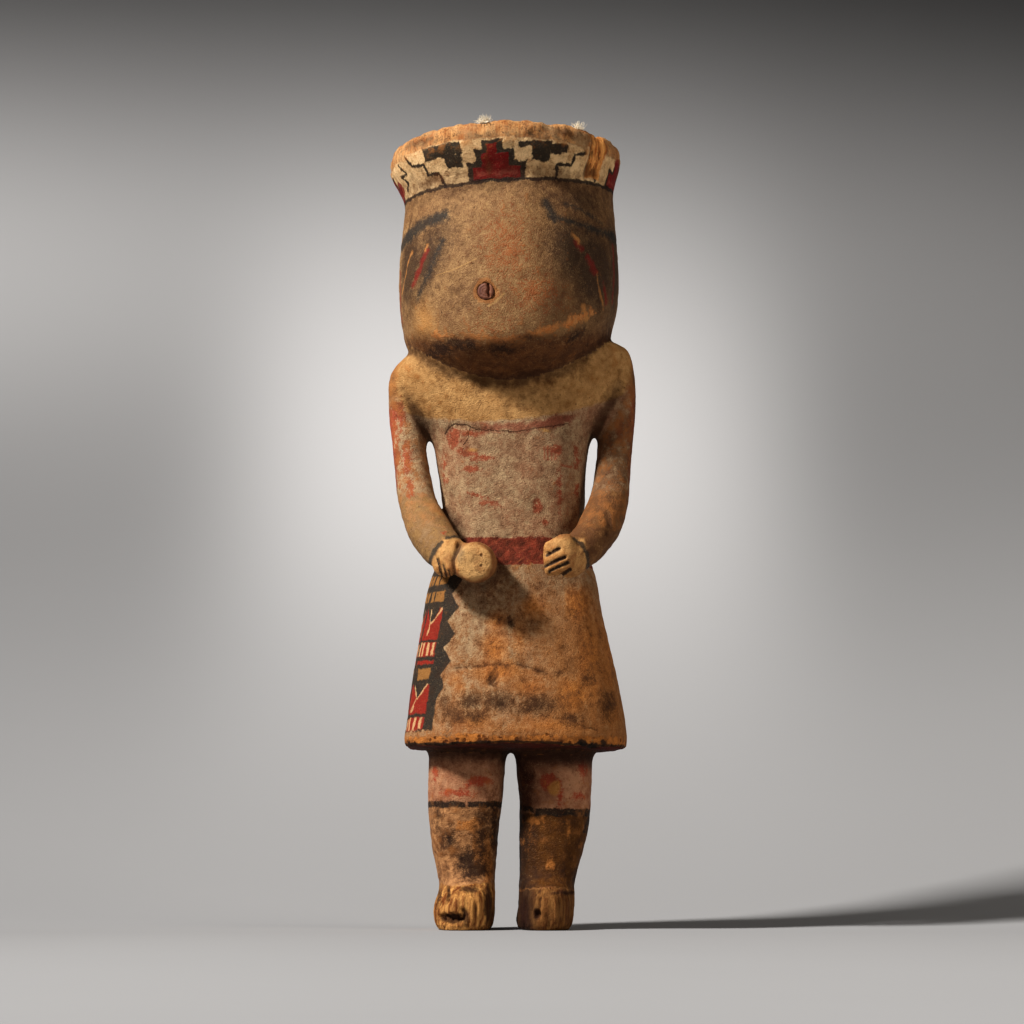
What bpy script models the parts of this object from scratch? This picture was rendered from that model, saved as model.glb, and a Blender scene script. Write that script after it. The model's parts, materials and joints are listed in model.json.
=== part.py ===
"""Carved and painted wooden kachina doll: one carved body, a peg stub and two tufts of down."""

import math

import bmesh
import bpy
from mathutils import Vector

# Overall size, in metres. The carving is laid out in parts, 312 parts to the height.
HEIGHT = 0.312
PART = HEIGHT / 312.0

# Fits
CLEARANCE = 0.0003

# Peg stub in the face
STUB_DIAMETER = 0.0064
STUB_LENGTH = 0.0060
STUB_PROUD = 0.0004
STUB_BEVEL = 0.0004
STUB_LEVEL = 245.0
STUB_TURN = math.radians(-11.5)

# Tufts of down on the lip: place round the rim, then width, depth and height
TUFT_HEIGHT = 0.0036
TUFT_SINK = 0.0012
LEFT_TUFT_WIDTH = 0.0050
LEFT_TUFT_TURN = math.radians(-11.0)
RIGHT_TUFT_WIDTH = 0.0046
RIGHT_TUFT_TURN = math.radians(41.0)

# Surface of the carving
VOXEL = 0.0010
SMOOTHING_STEPS = 12
BODY_TRIANGLES = 8600
RING_SIDES = 56
STEPS_BETWEEN = 4

# Sections of the carving, from below upwards. Each gives, in parts: level, reach to the left,
# reach to the right, reach to the front, reach to the back, and how steeply the section rises
# from its middle towards the left and towards the right.
HEAD = (
    (208.0, 18.0, 16.0, 14.0, 18.0, -0.030, 0.030),
    (212.5, 26.0, 24.0, 22.0, 26.0, -0.040, 0.040),
    (218.0, 32.6, 30.4, 31.0, 33.0, -0.045, 0.045),
    (222.5, 36.4, 33.6, 38.0, 37.0, -0.050, 0.050),
    (227.0, 39.2, 36.4, 41.8, 40.0, -0.052, 0.052),
    (234.0, 42.8, 39.8, 43.3, 42.0, -0.052, 0.052),
    (246.0, 44.8, 42.2, 44.0, 43.5, -0.052, 0.052),
    (260.0, 45.3, 42.7, 43.8, 44.0, -0.052, 0.052),
    (275.0, 44.3, 41.5, 42.0, 43.0, -0.052, 0.052),
    (286.0, 43.3, 40.6, 39.3, 41.5, -0.052, 0.052),
    (290.5, 43.0, 40.6, 38.6, 41.0, -0.052, 0.052),
    (295.0, 44.8, 41.6, 41.0, 42.0, -0.052, 0.048),
    (300.0, 47.6, 43.0, 44.0, 43.6, -0.052, 0.040),
    (305.0, 48.8, 43.8, 46.0, 44.6, -0.052, 0.020),
    (309.5, 47.6, 42.6, 46.4, 44.2, -0.052, -0.010),
    (312.8, 45.0, 40.0, 44.0, 42.0, -0.060, -0.036),
    (311.0, 41.5, 37.0, 40.0, 39.0, -0.052, -0.030),
    (307.5, 36.0, 32.5, 35.0, 34.5, -0.052, -0.030),
    (305.5, 24.0, 21.0, 23.0, 23.0, -0.052, -0.030),
    (305.0, 9.0, 6.0, 8.0, 8.0, -0.052, -0.030),
)
TORSO = (
    (66.8, 21.0, 23.0, 13.0, 17.0, 0.0, 0.0),
    (68.0, 33.0, 35.0, 23.0, 26.5, 0.0, -0.008),
    (69.6, 39.6, 42.0, 28.8, 31.0, 0.0, -0.010),
    (71.8, 42.4, 44.8, 31.6, 32.6, 0.0, -0.010),
    (76.0, 42.4, 45.2, 31.8, 32.8, 0.0, -0.010),
    (83.0, 41.3, 44.3, 31.0, 32.0, 0.0, 0.0),
    (92.5, 40.1, 42.7, 29.8, 31.0, 0.0, 0.0),
    (106.7, 37.8, 39.3, 27.6, 29.0, 0.0, 0.0),
    (121.0, 35.4, 36.1, 25.4, 27.0, 0.0, 0.0),
    (130.4, 33.8, 34.4, 24.0, 25.4, 0.0, 0.0),
    (139.0, 31.4, 32.8, 22.6, 23.8, 0.0, 0.0),
    (146.0, 28.0, 29.8, 20.6, 22.0, 0.0, 0.0),
    (152.0, 26.6, 28.2, 19.8, 21.2, 0.0, 0.0),
    (160.0, 27.0, 28.4, 19.9, 21.4, 0.0, 0.0),
    (173.5, 28.4, 29.2, 20.8, 22.2, 0.0, 0.0),
    (183.0, 29.9, 29.8, 21.6, 23.0, 0.0, 0.0),
    (193.0, 31.8, 31.2, 22.4, 23.8, -0.010, 0.010),
    (200.0, 35.8, 35.2, 23.0, 24.4, -0.020, 0.020),
    (207.0, 41.6, 41.0, 23.6, 25.0, -0.030, 0.030),
    (214.0, 46.0, 46.0, 23.8, 25.0, -0.045, 0.045),
    (221.0, 47.8, 47.8, 23.4, 24.6, -0.050, 0.050),
    (226.0, 45.2, 46.4, 21.8, 23.0, -0.050, 0.060),
    (229.0, 38.0, 40.0, 19.0, 20.0, -0.050, 0.060),
    (230.0, 30.0, 30.0, 15.0, 16.0, -0.050, 0.050),
)
LEFT_LEG = (
    (-2.0, 28.0, -9.2, 21.6, 13.0, 0.0, 0.0),
    (0.0, 29.4, -7.8, 23.0, 14.2, 0.0, 0.0),
    (3.6, 30.5, -7.0, 24.2, 15.0, 0.0, 0.0),
    (8.2, 30.8, -6.6, 24.4, 15.2, 0.0, 0.0),
    (12.0, 29.8, -6.6, 23.8, 15.0, 0.0, 0.0),
    (15.0, 28.6, -6.7, 21.4, 14.6, 0.0, 0.0),
    (18.2, 28.4, -6.8, 16.2, 14.4, 0.0, 0.0),
    (21.6, 29.2, -6.7, 12.8, 14.4, 0.0, 0.0),
    (31.5, 31.3, -5.9, 13.4, 15.2, 0.0, 0.0),
    (40.8, 32.5, -5.1, 14.2, 16.0, 0.0, 0.0),
    (50.2, 32.9, -3.9, 15.0, 16.4, 0.0, 0.0),
    (64.0, 32.6, -2.8, 16.0, 16.8, 0.0, 0.0),
    (72.0, 32.4, -2.0, 16.4, 17.0, 0.0, 0.0),
)
RIGHT_LEG = (
    (-2.0, -3.8, 21.4, 21.6, 13.0, 0.0, 0.0),
    (0.0, -2.6, 22.8, 23.0, 14.2, 0.0, 0.0),
    (3.6, -1.6, 23.8, 24.2, 15.0, 0.0, 0.0),
    (8.2, -2.4, 24.2, 24.4, 15.2, 0.0, 0.0),
    (12.0, -2.5, 24.4, 23.8, 15.0, 0.0, 0.0),
    (15.0, -2.5, 24.0, 21.6, 14.6, 0.0, 0.0),
    (18.2, -2.6, 24.0, 16.6, 14.4, 0.0, 0.0),
    (21.6, -2.8, 25.2, 13.0, 14.4, 0.0, 0.0),
    (31.5, -2.8, 28.2, 13.4, 15.2, 0.0, 0.0),
    (40.8, -2.7, 30.5, 14.2, 16.0, 0.0, 0.0),
    (50.2, -2.8, 31.0, 15.0, 16.4, 0.0, 0.0),
    (64.0, -1.6, 31.4, 16.0, 16.8, 0.0, 0.0),
    (72.0, -1.4, 31.6, 16.4, 17.0, 0.0, 0.0),
)
HEAD_SQUARENESS = 2.05
TORSO_SQUARENESS = 2.35
LEG_SQUARENESS = 2.4

# Arms, fingers and grip, in parts: x, y, level and radius along each one. An arm is deeper
# than it is wide by twice the last value.
LEFT_ARM = (
    (-40.8, 0.0, 217.6, 8.6, 3.0),
    (-42.0, 0.0, 207.0, 7.2, 3.0),
    (-41.0, -1.0, 193.0, 6.8, 2.8),
    (-39.4, -3.5, 179.0, 7.2, 2.4),
    (-37.0, -8.5, 166.4, 7.7, 1.6),
    (-32.6, -16.5, 155.8, 8.6, 0.8),
    (-26.8, -25.0, 146.6, 8.3, 0.0),
    (-21.6, -30.0, 142.4, 6.6, 0.0),
)
RIGHT_ARM = (
    (40.6, 0.0, 222.6, 8.2, 3.0),
    (41.6, 0.0, 211.0, 7.6, 3.0),
    (41.0, -1.0, 196.0, 7.4, 2.8),
    (39.8, -3.5, 181.0, 7.4, 2.4),
    (38.4, -8.5, 168.4, 7.9, 1.6),
    (34.4, -17.0, 157.0, 8.6, 0.8),
    (27.8, -26.0, 147.4, 7.8, 0.0),
    (22.0, -30.5, 144.2, 6.6, 0.0),
)
RIGHT_FIST = ((21.6, -30.2, 142.6), (9.2, 7.8, 8.0))
LEFT_FIST = ((-24.8, -29.4, 142.4), (5.8, 7.6, 8.4))
FINGER_RADIUS = 1.95
RIGHT_FINGERS = 4
RIGHT_FINGER_PITCH = 3.5
RIGHT_FINGER_TOP = 147.2
RIGHT_FINGER_RISE = 0.40
RIGHT_FINGER_LINE = ((23.0, -37.0), (17.6, -37.4), (13.8, -34.6), (13.0, -29.5))
LEFT_FINGERS = 3
LEFT_FINGER_STEP = (2.9, -2.1, -0.2)
LEFT_FINGER_LINE = ((-30.0, -31.0, 142.6), (-29.4, -32.0, 139.0), (-27.6, -31.6, 135.6))
GRIP_BACK = (-13.0, -22.0, 141.6)
GRIP_FRONT = (-14.6, -38.8, 140.0)
GRIP_RADIUS = 8.1
GRIP_BACK_RADIUS = 7.0
GRIP_FACE_BEVEL = 1.6

# Breaks in the wood, in parts: centre and half sizes of what has fallen away
TOE_BREAKS = (
    ((-22.0, -26.4, 6.0), (5.6, 3.4, 3.2)),
    ((-25.4, -24.0, 2.4), (5.0, 3.4, 2.2)),
    ((8.4, -25.6, 6.4), (2.0, 2.4, 3.4)),
)
RIM_BREAK = ((30.6, -38.6, 306.0), (2.4, 5.0, 7.4))


def clear_scene():
    for thing in list(bpy.data.objects):
        bpy.data.objects.remove(thing, do_unlink=True)


def make_collection(name):
    collection = bpy.data.collections.new(name)
    bpy.context.scene.collection.children.link(collection)
    return collection


def make_material(name, colour, roughness):
    material = bpy.data.materials.new(name)
    material.use_nodes = True
    shader = material.node_tree.nodes["Principled BSDF"]
    shader.inputs["Base Color"].default_value = (*colour, 1.0)
    shader.inputs["Roughness"].default_value = roughness
    shader.inputs["Metallic"].default_value = 0.0
    return material


def between(stations, steps):
    """Smooth run of stations: a Catmull-Rom curve with the given steps between each two."""
    last = len(stations) - 1
    run = []
    for index in range(last):
        before = stations[max(index - 1, 0)]
        start = stations[index]
        end = stations[index + 1]
        after = stations[min(index + 2, last)]
        for step in range(steps):
            t = step / steps
            run.append([
                0.5 * (2 * b + (c - a) * t + (2 * a - 5 * b + 4 * c - d) * t * t
                       + (3 * b - a - 3 * c + d) * t * t * t)
                for a, b, c, d in zip(before, start, end, after)
            ])
    run.append(list(stations[last]))
    return run


def rounded(value, squareness):
    return math.copysign(abs(value) ** (2.0 / squareness), value)


def section_point(station, turn, squareness):
    """Point on a section, at a turn from the front towards the right."""
    level, left, right, front, back, rise_left, rise_right = station
    across = rounded(math.sin(turn), squareness)
    along = rounded(math.cos(turn), squareness)
    x = (right - left + (right + left) * across) / 2.0
    y = -front * along if along > 0.0 else -back * along
    rise = rise_right * x if x > 0.0 else -rise_left * x
    return Vector((x, y, level + rise)) * PART


def section_ring(bm, station, squareness):
    """One level of the carving: an oval whose reach differs to each side."""
    turns = [2.0 * math.pi * side / RING_SIDES for side in range(RING_SIDES)]
    return [bm.verts.new(section_point(station, turn, squareness)) for turn in turns]


def add_loft(bm, stations, squareness):
    rings = [section_ring(bm, s, squareness) for s in between(stations, STEPS_BETWEEN)]
    for low, high in zip(rings, rings[1:]):
        for side in range(RING_SIDES):
            after = (side + 1) % RING_SIDES
            bm.faces.new((low[side], low[after], high[after], high[side]))
    bm.faces.new(list(reversed(rings[0])))
    bm.faces.new(rings[-1])


def add_limb(bm, points):
    """A limb: a tube along a smooth line whose radius changes on the way."""
    curve = bpy.data.curves.new("limb", "CURVE")
    curve.dimensions = "3D"
    curve.bevel_depth = PART
    curve.bevel_resolution = 6
    curve.resolution_u = 8
    curve.use_fill_caps = True
    spline = curve.splines.new("BEZIER")
    spline.bezier_points.add(len(points) - 1)
    for knot, (x, y, level, radius) in zip(spline.bezier_points, points):
        knot.co = Vector((x, y, level)) * PART
        knot.radius = radius
        knot.handle_left_type = "AUTO"
        knot.handle_right_type = "AUTO"
    line = bpy.data.objects.new("limb", curve)
    bpy.context.scene.collection.objects.link(line)
    bpy.context.view_layer.update()
    seen = line.evaluated_get(bpy.context.evaluated_depsgraph_get())
    mesh = bpy.data.meshes.new_from_object(seen)
    tube = bmesh.new()
    tube.from_mesh(mesh)
    bmesh.ops.remove_doubles(tube, verts=tube.verts, dist=PART * 0.01)
    tube.to_mesh(mesh)
    tube.free()
    bm.from_mesh(mesh)
    bpy.data.objects.remove(line, do_unlink=True)
    bpy.data.curves.remove(curve)
    bpy.data.meshes.remove(mesh)


def add_arm(bm, knots):
    """An arm, flattened at its sides: two strands that run together into the hand."""
    for side in (-1.0, 1.0):
        add_limb(bm, [(x, y + side * spread, level, radius)
                      for x, y, level, radius, spread in knots])


def add_ball(bm, centre, radii, fineness=4):
    """A rounded mass: a ball stretched to three half sizes."""
    made = bmesh.ops.create_icosphere(bm, subdivisions=fineness, radius=PART)
    bmesh.ops.scale(bm, vec=Vector(radii), verts=made["verts"])
    bmesh.ops.translate(bm, vec=Vector(centre) * PART, verts=made["verts"])


def add_right_hand(bm):
    centre, radii = RIGHT_FIST
    add_ball(bm, centre, radii)
    tip_x = RIGHT_FINGER_LINE[-1][0]
    for finger in range(RIGHT_FINGERS):
        level = RIGHT_FINGER_TOP - finger * RIGHT_FINGER_PITCH
        inset = 0.5 * (finger - 1.2) ** 2
        add_limb(bm, [
            (x + 0.4 * inset, y + 0.5 * inset, level + RIGHT_FINGER_RISE * (x - tip_x),
             FINGER_RADIUS)
            for x, y in RIGHT_FINGER_LINE
        ])


def add_left_hand(bm):
    centre, radii = LEFT_FIST
    add_ball(bm, centre, radii)
    for finger in range(LEFT_FINGERS):
        add_limb(bm, [
            tuple(a + finger * b for a, b in zip(knot, LEFT_FINGER_STEP)) + (FINGER_RADIUS,)
            for knot in LEFT_FINGER_LINE
        ])


def add_grip(bm):
    """The round end of what the hand holds, broken off flat."""
    back = Vector(GRIP_BACK)
    front = Vector(GRIP_FRONT)
    face = front + (front - back).normalized() * GRIP_FACE_BEVEL
    add_limb(bm, [
        (*back, GRIP_BACK_RADIUS),
        (*((back + front) / 2.0), GRIP_RADIUS),
        (*front, GRIP_RADIUS),
        (*face, GRIP_RADIUS - GRIP_FACE_BEVEL),
    ])


def mesh_object(name, bm, collection):
    bmesh.ops.recalc_face_normals(bm, faces=bm.faces)
    mesh = bpy.data.meshes.new(name)
    bm.to_mesh(mesh)
    bm.free()
    thing = bpy.data.objects.new(name, mesh)
    collection.objects.link(thing)
    return thing


def settle(thing):
    """Fix the modifiers of an object into its mesh."""
    bpy.context.view_layer.update()
    seen = thing.evaluated_get(bpy.context.evaluated_depsgraph_get())
    mesh = bpy.data.meshes.new_from_object(seen)
    thing.modifiers.clear()
    old = thing.data
    thing.data = mesh
    bpy.data.meshes.remove(old)
    mesh.name = thing.name


def as_cutter(thing):
    thing.hide_render = True
    thing.display_type = "WIRE"
    return thing


def cut(thing, cutter, name):
    step = thing.modifiers.new(name, "BOOLEAN")
    step.operation = "DIFFERENCE"
    step.solver = "EXACT"
    step.object = cutter


def rough_carving(collection):
    """The whole figure as overlapping masses, made into one skin."""
    bm = bmesh.new()
    add_loft(bm, HEAD, HEAD_SQUARENESS)
    add_loft(bm, TORSO, TORSO_SQUARENESS)
    add_loft(bm, LEFT_LEG, LEG_SQUARENESS)
    add_loft(bm, RIGHT_LEG, LEG_SQUARENESS)
    add_arm(bm, LEFT_ARM)
    add_arm(bm, RIGHT_ARM)
    add_right_hand(bm)
    add_left_hand(bm)
    add_grip(bm)
    body = mesh_object("doll_body", bm, collection)
    skin = body.modifiers.new("one skin", "REMESH")
    skin.mode = "VOXEL"
    skin.voxel_size = VOXEL
    return body


def break_cutters(collection):
    cutters = []
    for index, (centre, half_sizes) in enumerate((*TOE_BREAKS, RIM_BREAK)):
        bm = bmesh.new()
        add_ball(bm, centre, half_sizes, fineness=2)
        cutters.append(as_cutter(mesh_object(f"break_{index + 1}", bm, collection)))
    return cutters


def soften(body):
    smooth = body.modifiers.new("soften", "SMOOTH")
    smooth.factor = 0.5
    smooth.iterations = SMOOTHING_STEPS


def level_soles(body):
    """Cut both feet off flat at the floor."""
    bm = bmesh.new()
    bm.from_mesh(body.data)
    geometry = list(bm.verts) + list(bm.edges) + list(bm.faces)
    bmesh.ops.bisect_plane(bm, geom=geometry, dist=PART * 0.001, plane_co=(0.0, 0.0, 0.0),
                           plane_no=(0.0, 0.0, 1.0), clear_inner=True)
    rims = [edge for edge in bm.edges if edge.is_boundary]
    bmesh.ops.edgeloop_fill(bm, edges=rims)
    bmesh.ops.triangulate(bm, faces=bm.faces)
    bm.to_mesh(body.data)
    bm.free()


def thin_out(body):
    """Fewer, larger facets, so that the whole body has the wanted number of triangles."""
    body.data.calc_loop_triangles()
    fewer = body.modifiers.new("fewer facets", "DECIMATE")
    fewer.ratio = min(1.0, BODY_TRIANGLES / len(body.data.loop_triangles))
    fewer.use_collapse_triangulate = True


def head_section(level):
    return min(between(HEAD, 16), key=lambda station: abs(station[0] - level))


def peg(name, diameter, length, place, axis, collection, bevel=0.0):
    """A round peg whose outer end is at a place and which points along an axis."""
    bm = bmesh.new()
    bmesh.ops.create_cone(bm, cap_ends=True, segments=32, radius1=diameter / 2.0,
                          radius2=diameter / 2.0, depth=length)
    if bevel:
        top = [e for e in bm.edges if all(v.co.z > 0.0 for v in e.verts)]
        bmesh.ops.bevel(bm, geom=top, offset=bevel, segments=2, affect="EDGES", profile=0.5)
    turn = axis.to_track_quat("Z", "Y").to_matrix()
    bmesh.ops.rotate(bm, verts=bm.verts, cent=(0.0, 0.0, 0.0), matrix=turn)
    bmesh.ops.translate(bm, verts=bm.verts, vec=place - axis * length / 2.0)
    return mesh_object(name, bm, collection)


def tuft(name, width, turn, collection, grow=0.0):
    """A tuft of down: a small rough lump sunk a little into the lip."""
    bm = bmesh.new()
    bmesh.ops.create_icosphere(bm, subdivisions=2, radius=1.0)
    for index, vertex in enumerate(bm.verts):
        swell = 0.84 + 0.16 * math.sin(2.4 * index)
        half = Vector((width, width * 0.7, TUFT_HEIGHT)) / 2.0 * swell
        vertex.co = Vector([c * (h + grow) for c, h in zip(vertex.co, half)])
    lip = max(HEAD, key=lambda station: station[0])
    place = section_point(lip, turn, HEAD_SQUARENESS)
    place.z += TUFT_HEIGHT / 2.0 - TUFT_SINK
    bmesh.ops.translate(bm, verts=bm.verts, vec=place)
    return mesh_object(name, bm, collection)


def centre_on_origin(things, cutters):
    """Set the doll on the floor with the middle of its box over the origin."""
    bpy.context.view_layer.update()
    graph = bpy.context.evaluated_depsgraph_get()
    corners = [thing.matrix_world @ vertex.co
               for thing in things for vertex in thing.evaluated_get(graph).data.vertices]
    low = [min(corner[axis] for corner in corners) for axis in range(3)]
    high = [max(corner[axis] for corner in corners) for axis in range(3)]
    middle = Vector(((low[0] + high[0]) / 2.0, (low[1] + high[1]) / 2.0, low[2]))
    for thing in (*things, *cutters):
        thing.location -= middle


def main():
    clear_scene()
    doll = make_collection("kachina_doll")
    cutters = make_collection("cutters")

    body = rough_carving(doll)
    for cutter in break_cutters(cutters):
        cut(body, cutter, cutter.name)
    soften(body)
    settle(body)
    thin_out(body)
    settle(body)
    level_soles(body)

    place = section_point(head_section(STUB_LEVEL), STUB_TURN, HEAD_SQUARENESS)
    outward = Vector((math.sin(STUB_TURN), -math.cos(STUB_TURN), 0.0))
    stub = peg("snout_stub", STUB_DIAMETER, STUB_LENGTH, place + outward * STUB_PROUD, outward,
               doll, STUB_BEVEL)
    socket_length = 2.0 * (STUB_LENGTH - STUB_PROUD + CLEARANCE)
    socket = peg("socket_cutter", STUB_DIAMETER + 2.0 * CLEARANCE, socket_length,
                 place + outward * socket_length / 2.0, outward, cutters)
    cut(body, as_cutter(socket), "socket")

    tufts = []
    for name, width, turn in (("down_tuft_left", LEFT_TUFT_WIDTH, LEFT_TUFT_TURN),
                              ("down_tuft_right", RIGHT_TUFT_WIDTH, RIGHT_TUFT_TURN)):
        tufts.append(tuft(name, width, turn, doll))
        seat = tuft(name + "_seat", width, turn, cutters, grow=CLEARANCE * 1.5)
        cut(body, as_cutter(seat), name + " seat")

    centre_on_origin((body, stub, *tufts), cutters.objects)

    body.data.materials.append(make_material("painted_root", (0.36, 0.25, 0.15), 0.75))
    stub.data.materials.append(make_material("peg_wood", (0.17, 0.09, 0.06), 0.8))
    down = make_material("down", (0.78, 0.72, 0.62), 0.9)
    for lump in tufts:
        lump.data.materials.append(down)
    for thing in (body, stub):
        thing.data.shade_smooth()


main()
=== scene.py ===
# %% [markdown]
# # A carved and painted wooden doll
# The doll is one piece of light root wood, cut with a knife, rubbed down, covered with a thin
# pale clay ground and painted with earth colours. It is old: the paint is rubbed through, the
# lip of the head is bare and the feet are split. The measured frame gives the carving as plain
# faceted solids. This notebook dresses them: a finer skin with tool marks and breaks, then the
# ground, the painted patterns and the wear, and last the floor, the light and the camera.

# %% Load the measured frame
import json
import math

import bmesh
import bpy
import numpy as np
from mathutils import Matrix, Vector, noise

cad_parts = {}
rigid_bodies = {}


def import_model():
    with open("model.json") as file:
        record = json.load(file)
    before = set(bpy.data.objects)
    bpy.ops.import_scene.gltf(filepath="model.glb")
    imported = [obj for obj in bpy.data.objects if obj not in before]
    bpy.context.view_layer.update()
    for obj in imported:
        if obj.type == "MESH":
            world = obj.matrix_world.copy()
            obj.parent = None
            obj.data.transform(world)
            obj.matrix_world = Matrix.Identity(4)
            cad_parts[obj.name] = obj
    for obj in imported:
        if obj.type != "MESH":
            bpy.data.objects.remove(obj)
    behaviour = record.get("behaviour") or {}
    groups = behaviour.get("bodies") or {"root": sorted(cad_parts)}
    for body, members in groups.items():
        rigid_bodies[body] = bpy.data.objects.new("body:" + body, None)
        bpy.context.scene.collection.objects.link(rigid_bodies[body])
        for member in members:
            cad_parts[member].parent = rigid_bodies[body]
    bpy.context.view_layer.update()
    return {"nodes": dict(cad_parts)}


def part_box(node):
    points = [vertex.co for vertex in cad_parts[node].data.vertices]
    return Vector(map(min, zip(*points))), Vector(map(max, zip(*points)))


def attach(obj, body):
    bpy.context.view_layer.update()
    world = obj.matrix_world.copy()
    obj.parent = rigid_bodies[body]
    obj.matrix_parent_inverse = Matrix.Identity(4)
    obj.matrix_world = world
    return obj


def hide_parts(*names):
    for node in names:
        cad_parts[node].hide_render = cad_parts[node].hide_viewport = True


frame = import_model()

nodes = frame["nodes"]
print("packed nodes:", ", ".join(sorted(nodes)))

# %% [markdown]
# ## Camera
# The view comes first, because every painted mark is placed by what it shows. A long lens far
# away, low and tilted up a little, keeps the upright sides of the doll nearly parallel.

# %% Camera
scene = bpy.context.scene
SENSOR = 36
FOCAL_PIXELS = 2919
FRAME_PIXELS = 1024
CAMERA_PLACE = (0, -1.150, 0.0307)
CAMERA_PITCH = math.radians(6.605)

camera_data = bpy.data.cameras.new("view")
camera_data.sensor_width = SENSOR
camera_data.lens = FOCAL_PIXELS * SENSOR / FRAME_PIXELS
camera_data.clip_end = 20
camera = bpy.data.objects.new("view", camera_data)
camera.location = CAMERA_PLACE
camera.rotation_euler = (math.pi / 2 + CAMERA_PITCH, 0, 0)
scene.collection.objects.link(camera)
scene.camera = camera
print("lens", round(camera_data.lens, 1), "mm")

# %% [markdown]
# ## Fields over the surface
# Most later steps ask the same questions of every point: how far round the head is it, is it on
# an arm, is it on the grip that the left hand holds? Each question gets a small function that
# answers in millimetres, above zero on the part that it names. They are worked out for all the
# points at once, as arrays.

# %% Region fields
MM = 0.001
HEAD_MIDDLE = -1.5
KILT_MIDDLE = 0.6
BROW_LEVEL = 289.6
BROW_SLOPE = 0.052
NECK_LEVEL, NECK_SLOPE, NECK_CURVE = 213.3, 0.045, 0.0105
ARC_MM = 0.73
ARMS = (
    ((-41.1, 0.9, 217.6, 8.6), (-42.3, 0.9, 207, 7.2), (-41.3, -0.1, 193, 6.8),
     (-39.7, -2.6, 179, 7.2), (-37.3, -7.6, 166.4, 7.7), (-32.9, -15.6, 155.8, 8.6),
     (-27.1, -24.1, 146.6, 8.6), (-24.5, -28.5, 142, 8)),
    ((40.3, 0.9, 222.6, 8.2), (41.3, 0.9, 211, 7.6), (40.7, -0.1, 196, 7.4),
     (39.5, -2.6, 181, 7.4), (38.1, -7.6, 168.4, 7.9), (34.1, -16.1, 157, 8.6),
     (27.5, -25.1, 147.4, 8.4), (21.3, -29.3, 142.6, 8.6)),
)
GRIP = ((-13.3, -21.1, 141.6, 7), (-14.9, -37.9, 140, 8.1))
WAIST = (
    (66, 45, 32.5), (106.7, 38.6, 28.3), (139, 32.1, 23.2), (152, 27.4, 20.5), (183, 29.9, 22.3),
    (207, 41, 23.5), (230, 47.8, 24.6),
)


def step_up(value, low, high):
    """Rises smoothly from 0 at low to 1 at high."""
    share = np.clip((value - low) / (high - low), 0, 1)
    return share * share * (3 - 2 * share)


def step_down(value, low, high):
    """Falls smoothly from 1 at low to 0 at high."""
    return step_up(-value, -high, -low)


def near(value, middle, full, none):
    """1 as long as a value is within `full` of the middle, 0 from `none` on."""
    return step_down(np.abs(value - middle), full, none)


def along_rod(places, start, end):
    """How far each point is outside a tapering rod, in millimetres."""
    a, b = np.array(start), np.array(end)
    way = b[:3] - a[:3]
    share = np.clip((places - a[:3]) @ way / (way @ way), 0, 1)
    middle = a[:3] + share[:, None] * way
    radius = a[3] + share * (b[3] - a[3])
    return np.linalg.norm(places - middle, axis=1) - radius


def outside_arms(places):
    """How far each point is outside the nearer arm."""
    parts = [along_rod(places, a, b) for arm in ARMS for a, b in zip(arm, arm[1:])]
    return np.min(parts, axis=0)


def outside_trunk(places):
    """How far each point is outside the trunk and the kilt, taken as a stack of ovals."""
    level, *sizes = np.array(WAIST).T
    wide, deep = (np.interp(places[:, 2], level, size) for size in sizes)
    return (np.hypot(places[:, 0] / wide, places[:, 1] / deep) - 1) * deep


def neck_line(x):
    """The height of the line where the head meets the shoulders."""
    return x * x * NECK_CURVE + x * NECK_SLOPE + NECK_LEVEL


def head_height(places):
    """How far each point is above the neck line."""
    return places[:, 2] - neck_line(places[:, 0])


def brow_height(places):
    """How far each point is above the black line under the headband."""
    return places[:, 2] - (BROW_LEVEL + BROW_SLOPE * places[:, 0])


def head_arc(places):
    """How far round the head each point is from the front, in millimetres of its girth."""
    turn = np.arctan2(places[:, 0] - HEAD_MIDDLE, -places[:, 1])
    return np.degrees(turn) * ARC_MM


def read(items, key, width=3, kind=float):
    """One property of every point, edge or face, a row each."""
    flat = np.empty(len(items) * width, dtype=kind)
    items.foreach_get(key, flat)
    return flat.reshape(-1, width)


def points_of(mesh):
    """All the points of a mesh, in millimetres."""
    return read(mesh.vertices, "co") / MM


def put_points(mesh, places):
    """Moves the points of a mesh to new places, given in millimetres."""
    mesh.vertices.foreach_set("co", (places * MM).ravel())
    mesh.update()


print("fields: arms, trunk, head, brow, girth")

# %% [markdown]
# ## The skin of the carving
# A knife leaves broad soft planes, not the crisp triangles of the measured solid. So the solid
# is turned into a fine even net (a voxel remesh), which also lets every point be moved later.
# The socket of the peg is stopped up first, because a net this coarse would make it ragged, and
# it is bored again once the skin is done.

# %% Copy and remesh
NET = 1.3 * MM
HEM_LEVEL = 70.2
HEM_ROUND = 2.4
UNDER_KILT = 62
PLUG_DEPTH = 7.5 * MM
PLUG_RADIUS = 3.9 * MM
GAP_PARING = {True: 0.8, False: 0.35}
PEG_TURN = math.radians(-11.5)
PEG_LENGTH = 6 * MM
PEG_PROUD = 0.4 * MM

peg_low, peg_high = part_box("snout_stub")
peg_middle = (peg_low + peg_high) / 2
outward = Vector((math.sin(PEG_TURN), -math.cos(PEG_TURN), 0))
face_point = peg_middle + outward * (PEG_LENGTH / 2 - PEG_PROUD)


def merged(node):
    """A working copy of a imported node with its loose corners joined."""
    shape = bmesh.new()
    shape.from_mesh(node.data)
    bmesh.ops.remove_doubles(shape, verts=shape.verts, dist=0.01 * MM)
    return shape


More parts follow.
